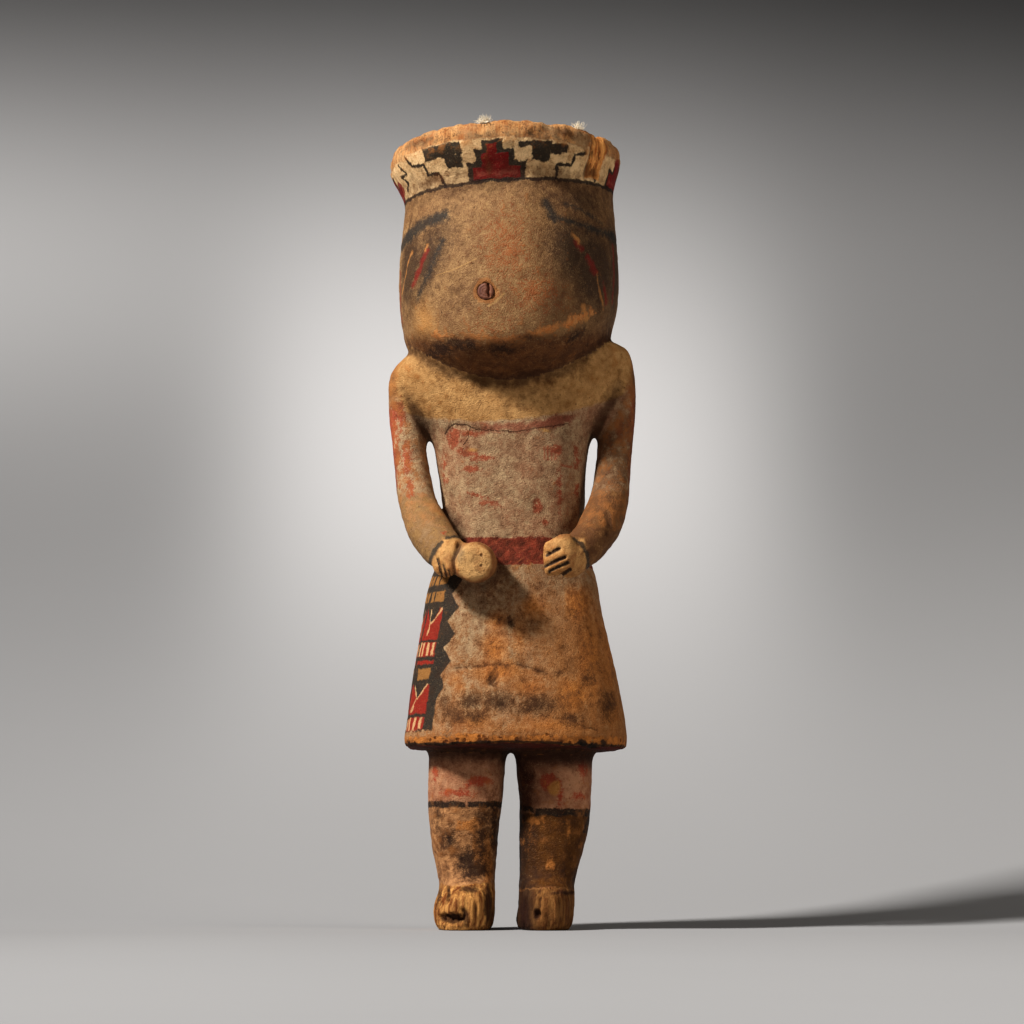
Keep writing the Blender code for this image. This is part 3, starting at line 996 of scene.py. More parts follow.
face_skin = Skin("painted_face")
broad, middle, small, tiny, streak = face_skin.chance
place, x, y, z, px, pz, front_place, front = face_skin.places
arc, brow, head = read_head(face_skin)
cheek_place = vector_of(arc, pz)
coats = face_skin.lay_ground(-y - NEVER)
face = least(head, -brow - 0.2)
face_mask = inside(face + small * 0.8, 0.4)
skin = blend(clipped(0.5 + middle * 0.9 + small * 1.4 + tiny * 1.6 + broad * 1.2), FACE_OCHRE,
             FACE_BROWN)
# Painted shade: the right side of the face is darker brown.
skin = blend(inside(x - 6 + middle * 12, 14) * 0.4, skin, pigment(96, 64, 38))
flush = dabs(front_place, [(-2, 262, 13, 20), (8, 244, 15, 12), (-8, 230, 16, 7)])
skin = blend(inside(flush * 0.05 + small * 1.6 + tiny * 2.8 - 0.44, 0.22) * front * 0.62,
             skin, FACE_ORANGE)
coats.lay(face_mask, skin, 0.62, small * 0.05)
# Painted highlight: a golden ochre patch on the lit lower left of the face.
golden_highlight = dabs(front_place, [(-34, 236, 4, 8, 12)])
coats.lay(inside(golden_highlight * 0.2 + small * 1.6 + middle - 0.2, 0.6) * 0.6 * face_mask * front,
          pigment(206, 148, 84))

cheek_dark = dabs(cheek_place, [
    (-34, 260, 9, 17, -26), (-47, 258, 11, 18), (25, 262, 9, 14, 14), (38, 256, 14, 18),
    (54, 258, 10, 20), (31, 283, 14, 4),
])
coats.lay(inside(cheek_dark * 0.2 + middle * 1.5 + small * 1.6 + tiny - 0.3, 0.9) * 0.82
          * face_mask, pigment(58, 42, 30))
cheek_black = strokes(cheek_place, [
    (3.3, (-66, 268), (-52, 271), (-38, 274.5)), (2.8, (-38, 274.5), (-27, 276.2)),
    (1.6, (-27, 266), (-32.5, 255), (-40, 245)), (2.4, (15.6, 280.4), (18.4, 274.6)),
    (1.5, (18.6, 275), (34, 272.6)), (2, (34, 272.6), (50, 272)), (2.8, (50, 272), (66, 272)),
    (0.9, (24, 280.6), (44, 276)),
])
coats.lay(inside(cheek_black + small * 4 + tiny * 2.5 + middle * 1.2 - 0.5, 1.1) * 0.9
          * face_mask, BLACK)
cheek_red = strokes(cheek_place, [
    (1.3, (-34.5, 263.4), (-38, 257), (-42.8, 250.6)), (1.3, (-58, 258), (-60, 240)),
    (1.2, (52, 268), (53, 246)), (1.6, (33.5, 260), (37, 255)), (1.2, (27.5, 265.4), (30, 263.2)),
    (1.1, (43, 251), (46, 244)),
])
coats.lay(inside(cheek_red + small * 4 + tiny * 1.6 - 0.1, 0.7) * 0.85 * face_mask, DARK_RED)
cheek_tan = strokes(cheek_place, [
    (0.8, (-44.5, 264), (-49, 258), (-55, 249.5)), (0.9, (-34.4, 265), (-35.4, 263.6)),
    (1.2, (26.2, 268.4), (28.8, 265.6)), (0.6, (38, 254), (44, 241)),
    (1.6, (31.5, 240.4), (34, 236.4)),
])
coats.lay(inside(cheek_tan + small * 4 + tiny * 1.6 - 0.3, 0.5) * 0.75 * face_mask, TAN)

# %% Face wear
chin_edge = strokes(front_place, [
    (1.7, (-30, 230), (-22, 227.6), (-4, 226), (6, 227.4)), (2.2, (8, 228.4), (22, 233), (31, 240)),
])
chin_mask = inside(chin_edge + small * 7 + tiny * 3 + middle * 6 - 0.9, 0.7) * 0.85
chin_wood = blend(clipped(0.4 + small * 3), pigment(206, 120, 54), pigment(222, 160, 100))
coats.lay(chin_mask * face_mask * front, chin_wood, 0.6)
scratches = strokes(vector_of(x, z), [
    (0.16, (-29.6, 252.6), (-22, 254), (-13.9, 257.6)), (0.42, (-6.6, 240.4), (-3.1, 243.6)),
    (0.36, (-8.9, 238.9), (-6, 240.6)),
])
coats.lay(inside(scratches + tiny * 0.8, 0.2) * front * 0.7, pigment(190, 148, 96), 0.8)
peg_gap = distance(x, z, -10.5, 245.1)
coats.lay(inside(4.6 - peg_gap + small * 2, 1.2) * front * 0.8, pigment(84, 52, 32), 0.7)
# Painted shade under the head: its downward face is painted dark brown.
under_chin = 226.4 - z + x * 0.04 + x * x * 0.004 + middle * 7 + small * 4
chin_shade_tone = coats.mottled(0.4, 2.4, 2, pigment(108, 64, 30), pigment(66, 36, 17))
coats.lay(inside(least(under_chin, head + 1), 2.6) * 0.8, chin_shade_tone, 0.66)
chin_stain = dabs(front_place, [
    (-20, 225.6, 9, 2.8, -8), (-28, 224, 6, 3), (5.5, 227.2, 5, 1.4), (24, 229, 6, 1.8, 30),
    (-4, 223, 8, 1.6),
])
coats.lay(inside(chin_stain + small * 6 + tiny * 2 - 0.3, 0.9) * 0.8 * front, pigment(38, 22, 14))
coats.lay(inside(0.72 - abs(brow) + small * 1.5 + tiny * 0.7, 0.25) * 0.9, BAND_BLACK)
face_skin.finish()

# %% [markdown]
# ### Headband
# Round the head runs a white band with stepped rain clouds: a red one with a black outline in
# front, black ones hanging from the lip on each side of it, and thin stepped outlines further
# round. Each cloud is a stack of boxes in girth and height. On the sides and the back, which
# the view doesn't show, the same clouds repeat a quarter turn apart.

# %% Headband
QUARTER = 90 * ARC_MM
FRONT_CLOUD = -4.9
BAND_WHITE = pigment(236, 198, 148)
BAND_RED = pigment(128, 10, 6)
CLOUD_BLACK = ((-16.8, 7.4, -0.2, 7), (-12.8, 2.4, 5, 11.4), (-9.8, -2.2, 9, 14.9))
CLOUD_RED = ((-14.6, 5.2, 0.7, 5.3), (-10.6, 0.3, 4.8, 9.8), (-8, -4.3, 9.2, 13.5))
HANGING = (
    (-33.9, -17.4, 10.4, 15.4), (-25.2, -18, 5.9, 11), (4, 9.6, 11.6, 13.8), (9.2, 16.6, 6.5, 13.8),
    (16, 23.6, 9.2, 12.8), (40.2, 41.9, 0, 3),
)

band_skin = Skin("painted_headband")
broad, middle, small, tiny, streak = band_skin.chance
place, x, y, z, px, pz, front_place, front = band_skin.places
arc, brow, head = read_head(band_skin)
band_place = vector_of(arc, brow)
lip_edge = 15.6 - (arc + 18) * (arc + 18) * 0.0013
lip = brow - most(lip_edge, 11.5) + small * 2 + middle * 1.4
dish = 36 - ((x - HEAD_MIDDLE) * (x - HEAD_MIDDLE) + y * y) * (1 / 36)
lip = most(lip, dish)
tear = least(box(arc, brow, 35, 43, 1.8, 19), -dish) + small * 2.5
coats = band_skin.lay_ground(most(lip, tear))
band = least(head, brow, -lip)
band_mask = inside(band + small * 0.8, 0.35)
coats.lay(band_mask, blend(clipped(0.35 + middle * 1.8 + small * 2 + tiny), BAND_WHITE,
                           pigment(180, 136, 90)), 0.85)
around = sum_node("FLOORED_MODULO", arc - FRONT_CLOUD + QUARTER / 2, QUARTER) - QUARTER / 2
hidden = abs(arc - FRONT_CLOUD) - 49
side = abs(around)
back_black = boxes(side, brow, [
    (-1, 11.7, -0.2, 7.2), (-1, 7, 5, 11.6), (-1, 3.2, 9, 14.9), (22, 40, 10.4, 15.4),
    (28, 40, 5.9, 11),
])
back_red = boxes(side, brow, [(-1, 10.1, 0.7, 6), (-1, 5.2, 5.5, 10.4), (-1, 1.7, 9.8, 14.2)])
terraces = strokes(band_place, [
    (0.62, (-44.4, 14.7), (-41.6, 10.4), (-35.4, 9.6), (-35, 6), (-29.8, 5.4), (-28.2, 0)),
    (0.62, (-50.6, 12.9), (-47.4, 8.9), (-52, 8.3), (-49, 5.6), (-53, 3.2)),
    (0.62, (20.7, 0), (20.5, 5.5), (26.6, 5.4), (27.4, 9.4), (31.6, 10.5)),
])
brow_line = 0.72 - abs(brow)
band_black = most(
    least(boxes(arc, brow, CLOUD_BLACK + HANGING), -hidden),
    least(back_black, hidden), terraces,
)
band_red = most(least(boxes(arc, brow, CLOUD_RED), -hidden), least(back_red, hidden))
rubbed_left = dabs(band_place, [(-33, 3.6, 9, 1.6, 4), (26, 14, 5, 1), (-8, 5, 1, 3)])
ragged = small * 2.2 + tiny * 1
coats.lay(inside(least(band_black, band + 0.6) + ragged + streak * 0.8, 0.22) * 0.95,
          BAND_BLACK, 0.7, 0.06)
coats.lay(inside(least(band_red, band) + ragged * 0.6, 0.2) * 0.95, BAND_RED, 0.7, 0.05)
chalked = least(band_red, 2.6 - abs(brow - 2.4))
coats.lay(inside(chalked + small * 6 + streak * 3 - 1.6, 0.5) * 0.4, pigment(196, 104, 84))
coats.lay(inside(least(brow_line, head) + ragged * 0.7, 0.25) * 0.9, BAND_BLACK, 0.7, 0.05)
coats.lay(inside(rubbed_left + small * 3 + tiny * 2, 0.8) * 0.6 * inside(band, 0.4),
          pigment(112, 66, 32))

# %% Lip wood
lip_mask = inside(lip, 0.8)
lip_dark = dabs(band_place, [
    (23, 17, 11, 2, -6), (-36, 18.5, 8, 2), (30, 14, 3.4, 3), (-10, 15.6, 6, 1.4), (8, 15, 8, 1.3),
])
coats.lay(inside(lip_dark + small * 7 + middle * 5, 0.8) * 0.8 * lip_mask, pigment(96, 60, 34))
coats.lay(inside(small * 1.8 + tiny * 1.8 - 0.26, 0.10) * 0.75 * lip_mask,
          pigment(92, 50, 24), 0.85, -0.3)
coats.lay(inside(middle * 1.6 + small * 1 - 0.10, 0.3) * 0.6 * lip_mask,
          pigment(214, 176, 128), 0.85)
tear_mask = inside(tear, 0.5)
tear_tone = cloud(place, 1.5, 3, 0.6, (1, 1, 0.09), 12)
coats.lay(tear_mask, blend(clipped(0.45 + tear_tone * 3.2), pigment(252, 180, 104),
                           pigment(184, 102, 46)), 0.75, tear_tone * 0.7)
# A thin dark line along the left edge of the torn strip.
tear_edge = inside(0.3 - abs(arc - 34.8) + small, 0.5) * inside(between(brow, 5, 19), 0.6)
coats.lay(tear_edge * 0.7, TEAR_EDGE_DARK)
red_dab = dabs(band_place, [(57, 10.6, 4.6, 1.9), (-60, 5.4, 4, 3)])
coats.lay(inside(red_dab + small * 2, 0.3) * 0.9, BAND_RED)
band_skin.finish()

# %% [markdown]
# ### Chest, arms and hands
# A broad ochre yoke covers the shoulders. Below it the chest is plain clay with scraps of
# vermilion, as if a whole red coat had once been there, and a red sash ties the waist. The upper
# arms keep more of the red on their outer sides, and the forearms and hands are ochre and tan
# with black lines at the wrists and between the fingers.

# %% Yoke and chest
YOKE = pigment(202, 156, 102)
YOKE_DARK = pigment(142, 98, 52)
VERMILION = pigment(168, 66, 42)
SASH_RED = pigment(148, 60, 42)

trunk_skin = Skin("painted_trunk")
broad, middle, small, tiny, streak = trunk_skin.chance
place, x, y, z, px, pz, front_place, front = trunk_skin.places
arm, grip = attribute(trunk_skin.tree, "arm"), attribute(trunk_skin.tree, "grip")
coats = trunk_skin.lay_ground(-y - NEVER)
clay = trunk_skin.clay
trunk_top = neck_line(x) - z - middle * 1.5
yoke_line = pz - (px + 4) * (px + 4) * 0.0045 - px * 0.04 - 197.4
yoke = least(yoke_line, trunk_top + 1)
yoke_tone = coats.mottled(0.35, 1.8, 1.4, YOKE, YOKE_DARK)
coats.lay(inside(yoke + small * 2.2 + middle * 1.6, 0.55), yoke_tone, 0.86,
          small * 0.16 + tiny * 0.12)
not_arm = inside(0.6 - arm, 0.8)
chest = least(-yoke, z - 152, 0.6 - arm)
red_band = least(box(px, yoke_line, -12, 24, -5.2, -0.6), 0.5 - arm)
coats.lay(inside(red_band + small * 5 + middle * 3 + tiny * 2 - 0.5, 0.9) * 0.62 * front,
          pigment(158, 74, 58))
coats.lay(inside(dabs(vector_of(px, yoke_line), [(17, -3, 8, 2.4)]) + small * 4, 0.6)
          * 0.55 * front, pigment(112, 44, 34))
chest_red = dabs(front_place, [
    (-22.6, 191.2, 2.6, 4), (-15.5, 192.6, 3.6, 1), (-16.5, 185, 4.4, 1.4, -12),
    (-12.4, 183, 4, 1.2), (-26.6, 182, 0.8, 2.4), (-26, 176, 0.8, 1.4), (-13, 168, 3, 1, -18),
    (-8.4, 165, 3.4, 0.9, -10), (10.2, 164, 1.6, 2.6), (18.6, 170, 1.1, 5.6), (17.4, 186, 2, 2),
    (25.4, 172.5, 0.9, 2.8), (25.4, 184, 1.2, 3.6), (13, 158, 1.2, 1), (-15, 178.6, 3, 1),
])
chest_hatch = strokes(front_place, [
    (0.32, (12.6, 186.6), (12.8, 182.6)), (0.32, (14, 186.8), (14.2, 182.4)),
    (0.32, (15.4, 186.8), (15.6, 182.6)), (0.32, (16.8, 186.6), (16.9, 182.8)),
    (0.4, (19.4, 180.2), (23.4, 180)), (0.4, (24.4, 186.4), (26.2, 182.8)),
])
chest_spots = most(chest_red + small * 6 + tiny * 3 - 0.1, chest_hatch + small * 1.4)
coats.lay(inside(least(chest_spots, chest), 0.5) * 0.8 * front, VERMILION)
blush = inside(broad * 1.6 + middle * 1.5 + small * 0.9 - 0.16, 0.3)
coats.lay(blush * inside(chest, 0.8) * 0.34, pigment(160, 78, 54))
grey_veil = inside(middle * 0.8 + small * 1.6 + tiny * 1.6 - 0.06, 0.4)
coats.lay(grey_veil * inside(chest, 0.8) * 0.5, pigment(116, 90, 64))
coats.lay(inside(dabs(front_place, [(-15.6, 186.2, 1.5, 0.6), (13, 193.8, 1.4, 0.5)])
                 + small * 1.5, 0.4) * front * 0.7, pigment(206, 156, 92))

# %% Crack and sash
crack = strokes(vector_of(x + small * 0.8, z + small * 1.6), [
    (0.30, *CHEST_CRACK[:4]), (0.20, *CHEST_CRACK[3:], (0.8, 192.9)),
    (0.18, (-16.4, 195.2), (-17.2, 190.6), (-19, 188.4)), (0.16, (0.8, 192.9), (22, 196.6)),
])
coats.lay(inside(crack + tiny * 0.6, 0.16) * front * not_arm * 0.85, pigment(50, 24, 16), 0.9)
knot = distance(x, z, -20.8, 193)
ring = least(0.35 - abs(knot - 3.3 + small * 1.2), 195.4 - z)
coats.lay(inside(ring + tiny * 1.2 - 0.12, 0.25) * front * not_arm * 0.6, pigment(92, 36, 24))
sash_depth = least(between(pz, 140.4, 151.9), 0.8 - arm, 1.2 - grip)
sash_tone = coats.mottled(0.35, 1.8, 1.8, SASH_RED, pigment(96, 34, 28))
coats.lay(inside(sash_depth + small * 2.6 + tiny * 1.2, 0.4) * 0.93, sash_tone, 0.92,
          small * 0.5 + tiny * 0.25)
sash_chalk = inside(small * 1.4 + tiny * 1.6 - 0.38, 0.1) * inside(sash_depth - 1, 0.6)
coats.lay(sash_chalk * 0.55, pigment(178, 104, 84))

# %% Arms and hands
on_arm = inside(least(arm - 0.6, trunk_top), 0.8)
upper = inside(z - 170 + middle * 8 + small * 4, 1.5)
forearm_tone = coats.mottled(0.5, 2.6, 2.8, pigment(160, 124, 80), pigment(104, 70, 38))
coats.lay(on_arm * (1 - upper), forearm_tone, 0.7, small * 0.08)
forearm_clay = inside(small * 1.6 + middle * 1.5 + tiny * 1.4 - 0.1, 0.2)
coats.lay(on_arm * (1 - upper) * forearm_clay * 0.6, pigment(186, 152, 112))
coats.lay(on_arm * (1 - upper) * inside(x + middle * 9, 2) * 0.45, pigment(134, 80, 38))
yoke_fade = inside(yoke_line - 4 + small * 6 + middle * 6, 2)
coats.lay(on_arm * upper * (1 - yoke_fade), clay, 0.88)
arm_red = most(least(-43 - px, between(z, 171, 207)), least(px - 44, between(z, 168, 215)))
arm_dabs = dabs(front_place, [
    (-44, 200, 2.6, 12), (-41.5, 183, 3.2, 9), (-39.6, 172, 2.4, 5), (38.6, 187, 1.1, 8),
    (38, 178, 0.8, 7), (42.5, 196, 2.8, 7), (-26.4, 152, 0.9, 0.9),
])
coats.lay(inside(most(arm_red * 0.7, arm_dabs) + small * 8 + tiny * 4 + middle * 4 - 1.2,
                 0.7) * on_arm * 0.85, VERMILION, 0.85)
shoulder = inside(z - 206 + middle * 8, 3)
coats.lay(shoulder * on_arm * 0.6, pigment(150, 92, 50))
# Painted shade: the right arm is painted darker brown.
coats.lay(inside(x - 20, 4) * on_arm * inside(middle * 2 + small * 2.2 + 0.5, 0.6) * 0.72,
          pigment(92, 58, 34))
arm_grey = inside(middle * 1.6 + small * 1.8 + tiny - 0.06, 0.3)
coats.lay(arm_grey * on_arm * upper * 0.55, pigment(104, 74, 50))
wrist = strokes(front_place, [
    (0.7, (-31.8, 141), (-29.6, 145.4), (-27, 148.6)), (0.6, (-25, 150.4), (-20.6, 151.2)),
    (0.75, (23.6, 149.4), (26.6, 147.6), (28.6, 144), (29.4, 138.6)),
])
hand_left = least(px + 33 - (z - 136) * 0.45, -16 - px, 150 - pz, arm + 1)
hand_right = least(29 - px - abs(z - 141) * 0.15, px - 10, 149.8 - pz, arm + 1)
hands = inside(most(hand_left, hand_right), 0.7) * inside(-y - 22, 1.5)
hand_tone = coats.mottled(0.3, 2.2, 1.6, pigment(208, 158, 100), pigment(146, 92, 48))
coats.lay(hands, hand_tone, 0.66, small * 0.06)
coats.lay(inside(wrist + small * 1.6, 0.3) * inside(-y - 14, 2) * inside(arm, 0.5) * 0.85, BLACK)
finger_paint = strokes(vector_of(x, z), [
    (half, *cut) for half, cut in zip((0.62, 0.66, 0.62, 0.6, 0.34, 0.34, 0.3),
                                      RIGHT_FINGER_CUTS + LEFT_FINGER_CUTS)
])
coats.lay(inside(finger_paint + tiny * 0.9 + small * 0.9, 0.22) * inside(-y - 22, 2) * 0.92,
          pigment(46, 42, 38))

# %% Grip in the left hand
grip_mask = inside(grip, 0.5) * inside(-y - 18, 1.5)
grip_tone = coats.mottled(0.1, 2, 1.6, pigment(216, 168, 110), pigment(150, 92, 46))
coats.lay(grip_mask, grip_tone, 0.7, small * 0.12 + tiny * 0.1)
# Painted shade on the side wall of the grip, round its flat end.
grip_side_shade = distance(x, z, -14.8, 140.2) - 6.9
coats.lay(inside(grip_side_shade + small * 1.4, 0.7) * grip_mask * 0.55, pigment(128, 70, 30))
grip_marks = dabs(front_place, [(-20.6, 143.6, 2.6, 3.4)])
coats.lay(inside(grip_marks + small * 3, 0.8) * grip_mask * 0.6, pigment(142, 122, 94))
grip_dark = dabs(vector_of(x, z), [(-11.8, 138.6, 0.5, 0.5), (-11.6, 142.6, 0.45, 0.6)])
coats.lay(inside(grip_dark + tiny * 0.6, 0.25) * grip_mask * 0.85, pigment(70, 38, 20), 0.9, -0.5)
# Painted shade along the lower right of the grip's rim.
rim_mark = distance(x, z, -14.6, 140)
grip_rim_shade = least(0.6 - abs(rim_mark - 7.6 + small * 1.8), x * 0.7 + 14 - (z - 138) * 0.5)
coats.lay(inside(grip_rim_shade, 0.4) * grip_mask * 0.5, pigment(110, 62, 30))
trunk_skin.finish()

# %% [markdown]
# ### Kilt
# The kilt is plain clay, worn to orange wood on its right and stained with soot low down, with
# painted shade darkening its right half. On one side hangs a black panel with a saw-toothed
# edge, filled with ochre squares, red fields with a black notch, and blocks of red and cream
# stripes. The panel widens with the kilt, so its columns are laid out in shares of its width,
# and its far half mirrors the near one.

# %% Kilt field
kilt_skin = Skin("painted_kilt")
broad, middle, small, tiny, streak = kilt_skin.chance
place, x, y, z, px, pz, front_place, front = kilt_skin.places
down = attribute(kilt_skin.tree, "down")
turn = sum_node("ARCTAN2", x - KILT_MIDDLE, -y) * math.degrees(1)
kilt_turn = abs(turn + 90) - 90
hem_low = z - 74.6 + abs(x) * 0.02 + small * 6 + middle * 5
coats = kilt_skin.lay_ground(least(-hem_low, z - 66))
kilt = between(z, 60, 160)
kilt_mask = inside(kilt, 0.7)
# Painted shade: the right half of the kilt is darker brown.
coats.lay(inside(x + 2 + middle * 16, 14) * kilt_mask * 0.38, pigment(140, 98, 60))
worn_places = dabs(front_place, [
    (-6, 108, 7, 10), (3, 111, 5, 9), (-5, 99, 14, 7), (6, 93, 10, 5), (-20, 93, 6, 4),
    (-6, 77, 20, 3), (31, 104, 7, 30), (38, 84, 6, 12), (-14, 80, 13, 6), (8, 124, 8, 6),
    (16, 78, 26, 5), (24, 90, 9, 9), (-22, 96, 5, 4), (-6, 118, 5, 7), (38, 108, 6, 30),
    (26, 126, 8, 10),
])
worn = clipped(worn_places * 0.11) + streak * 0.9 + middle * 0.8 + small * 1
coats.lay(inside(worn + tiny * 0.6 - 0.24, 0.3) * kilt_mask * 0.92, blend(
    clipped(0.4 + streak * 2.6 + small * 2), pigment(226, 146, 70), pigment(140, 76, 32)), 0.78)
shade_right = inside(x - 12 + middle * 14, 8) * inside(126 - z, 10)
coats.lay(shade_right * kilt_mask * 0.42, pigment(178, 112, 50))
warm = inside(112 - z + middle * 16 + x * 0.25, 14) * inside(streak + small * 1.6 + 0.06, 0.5)
coats.lay(warm * kilt_mask * 0.72, pigment(172, 106, 50))
kilt_grey = inside(middle * 1.5 + small * 1.8 + tiny - 0.12, 0.3)
coats.lay(kilt_grey * kilt_mask * 0.28, pigment(124, 94, 64))
soot_places = dabs(front_place, [
    (-16, 87, 7, 6), (-5, 87.5, 10, 6.5), (10, 86, 12, 6), (30.5, 97, 5, 4), (18, 98.6, 6.5, 2.4),
    (37, 86, 5, 9), (-26, 88, 4, 8), (14, 73.6, 5, 2.2), (-8, 95, 2.6, 3), (24, 80, 8, 4),
    (-24, 79, 3, 5), (-16, 82, 16, 5), (-2, 84, 28, 3.4),
])
soot = clipped(soot_places * 0.2) + middle * 1.2 + small * 1.5 + streak * 0.5
coats.lay(inside(soot + tiny * 1.4 - 0.1, 0.6) * kilt_mask * 0.4, pigment(92, 68, 46))
coats.lay(inside(soot + tiny * 1.4 - 0.6, 0.4) * kilt_mask * 0.75, pigment(58, 39, 27))
kilt_marks = strokes(vector_of(x + small, z + small * 1.5), [
    (0.26, *KILT_CRACK[:3]), (0.4, *KILT_CRACK[2:]), (0.3, *HEM_CRACK),
    (0.9, (-1.4, 119.8), (0.2, 116.6)), (0.5, (-8.6, 96.6), (-8.2, 93.6), (-6, 93)),
])
coats.lay(inside(kilt_marks + small * 1.4 + tiny * 1 - 0.1, 0.4) * front * 0.6, pigment(64, 36, 20))

# %% Kilt panel
PANEL_BLACK = pigment(36, 34, 31)
PANEL_RED = pigment(150, 42, 28)
PANEL_OCHRE = pigment(156, 110, 60)
CREAM = pigment(214, 172, 124)

fall = 137 - pz
saw = sum_node("PINGPONG", pz - 119.2, 5.3)
fade = inside(pz - 92, 6)
saw_edge = kilt_turn * -1 - 52.2 + kilt_skin.wobble * 1.5 + saw * (fade * 1.3) - fall * 0.035
panel = least(saw_edge * 0.62, kilt, z - 76.4 + small * 5, 141.4 - pz)
near = kilt_turn * -1 + kilt_skin.wobble * 1.4 - 56.6 - fall * 0.075
width = fall * 0.105 + 14.9
share = sum_node("DIVIDE", near, width)
column = 1.07 - abs(share - 1.07)
column_mm = column * 13
coats.lay(inside(panel + small * 1.4 + tiny * 0.6, 0.3) * 0.97, blend(
    clipped(0.25 + small * 2 + middle * 1.2), PANEL_BLACK, pigment(66, 58, 47)), 0.72, 0.05)
ochre_cells = boxes(column_mm, pz, [
    (1, 8, 133.9, 137.3), (9.3, 12.9, 133.9, 137.3), (1, 8.6, 127, 131), (9.9, 12.9, 127, 131),
    (1.2, 9.6, 96.8, 100.7),
])
red_cells = boxes(column_mm, pz, [
    (0.2, 12.9, 111.9, 124.2), (0.1, 12.9, 83.2, 94.6), (0.5, 12.4, 105.6, 111),
    (0.3, 12.6, 76.9, 81.8), (0.4, 12.4, 102.5, 104.1),
])
notches = most(
    least(pz - 118.6 - abs(column_mm - 7.6) * 1.05, 126 - pz),
    least(pz - 89.6 - abs(column_mm - 6.6) * 0.95, 96 - pz),
)
cells = least(panel, 6)
coats.lay(inside(least(ochre_cells, cells) + small * 1.6 + tiny, 0.3) * 0.9, PANEL_OCHRE, 0.8)
coats.lay(inside(least(red_cells, cells, -notches) + small * 1.5 + tiny, 0.3) * 0.92, PANEL_RED)
cream_lines = strokes(vector_of(column_mm, pz), [
    (0.42, (0.8, 124), (7, 118.8)), (0.42, (8.2, 119), (9.4, 124)), (0.5, (8, 119), (8.4, 114.4)),
    (0.42, (1, 94.6), (6.2, 89.4)), (0.42, (7.2, 89.6), (9.8, 94)), (0.4, (7, 89.4), (9.2, 86.6)),
    (0.36, (9.2, 86.6), (10.2, 84.6), (8.8, 84.8), (8.4, 87)),
])
bars = [(low, low + 1.5) for low in (1.4, 4.9, 8.4, 11.2)]
cream_bars = boxes(column_mm, pz, [
    (*bar, *row) for bar in bars for row in ((105.9, 110.8), (77.2, 81.6))
])
cream = most(cream_lines, cream_bars) + small * 1.8 + tiny * 1.4
coats.lay(inside(least(cream, cells), 0.22) * 0.85, CREAM, 0.8)

# %% Hem and underside
hem_zone = inside(-hem_low, 0.5) * inside(z - 64, 2) * inside(90 - z, 4)
coats.lay(hem_zone * 0.85, coats.mottled(0.4, 2.4, 3, pigment(196, 124, 58), pigment(120, 70, 32)))
hem_pits = dots(place, 2.3)
coats.lay(inside(0.30 - hem_pits + small * 0.5, 0.07) * hem_zone * 0.75, pigment(84, 42, 18),
          0.9, -0.5)
below = least(down * 6 - 4.6, between(z, 58, 72.5))
coats.lay(inside(below + small * 2, 0.8), blend(clipped(0.4 + middle * 2.5),
          pigment(96, 38, 24), pigment(50, 26, 18)), 0.85)
hem_line = least(1.1 - abs(down * 5 - 3), between(z, 62, 73))
coats.lay(inside(hem_line + small * 1.8, 0.35) * 0.85, pigment(36, 30, 24))
hem_chips = dabs(front_place, [(27, 71.6, 1.8, 1.4), (35.4, 72.2, 1.4, 1), (31, 70.6, 2.4, 0.8)])
coats.lay(inside(hem_chips + small * 1.6, 0.3) * 0.9 * front, pigment(34, 28, 22))
kilt_skin.finish()

# %% [markdown]
# ### Legs and feet
# The thighs are pink-white with scraps of red, a black garter line crosses each leg, and the
# boots below are ochre, one of them heavily sooted. The toes have lost all their paint. The
# inner side of the right leg, the right foot and the tops of the legs under the hem are painted
# dark as shade.

# %% Legs
leg_skin = Skin("painted_legs")
broad, middle, small, tiny, streak = leg_skin.chance
place, x, y, z, px, pz, front_place, front = leg_skin.places
toes_left = 17.6 - z + small * 5 + middle * 4
toes_right = 16.4 - z - (x - 14) * (x - 14) * 0.012 + small * 3
toes = least(most(least(toes_left, -2 - x), least(toes_right, x + 2)), -y + 4)
coats = leg_skin.lay_ground(toes)
thigh_tone = coats.mottled(0.35, 2.2, 1.4, pigment(186, 136, 102), pigment(134, 78, 52))
leg_mask = leg_skin.ground
coats.lay(leg_mask, thigh_tone, 0.84, small * 0.1)
garter_line = most(
    least(1.15 - abs(pz - 48.3), -1 - x, abs(x + 17.6) - 0.5),
    least(1.4 - abs(pz - 45.2), x - 9),
    least(1.1 - abs(pz - 47.4 + (x - 3) * 0.28), between(x, 0, 8.6)),
)
boots = most(least(47.6 - pz, -1 - x), least(44.6 - pz, x + 1))
left_tone = coats.mottled(0.45, 2, 2.4, pigment(190, 138, 92), pigment(98, 60, 34))
right_tone = coats.mottled(0.35, 2.2, 1.6, pigment(102, 62, 10), pigment(64, 36, 4))
boot_tone = blend(inside(x, 1), left_tone, right_tone)
coats.lay(inside(boots + small * 1.6, 0.4) * leg_mask, boot_tone, 0.7, small * 0.12)
leg_red = dabs(front_place, [
    (-13, 57, 6, 2.2, 12), (-9, 57.4, 2.6, 1.8), (-21, 52.6, 7, 1.8), (14, 57, 3.4, 3.4),
    (18.6, 52, 1.6, 6), (25, 51.5, 3.6, 1.8), (6, 57, 2.6, 1.6), (-30, 60, 1.4, 4), (27, 62, 2, 4),
])
coats.lay(inside(leg_red + small * 6 + tiny * 2.6 + middle * 2 - 0.5, 0.6) * leg_mask * 0.8,
          VERMILION)
coats.lay(inside(dabs(front_place, [(16.4, 54.6, 2.4, 2.6)]) + small * 2, 0.5) * leg_mask
          * 0.85, pigment(196, 138, 72))
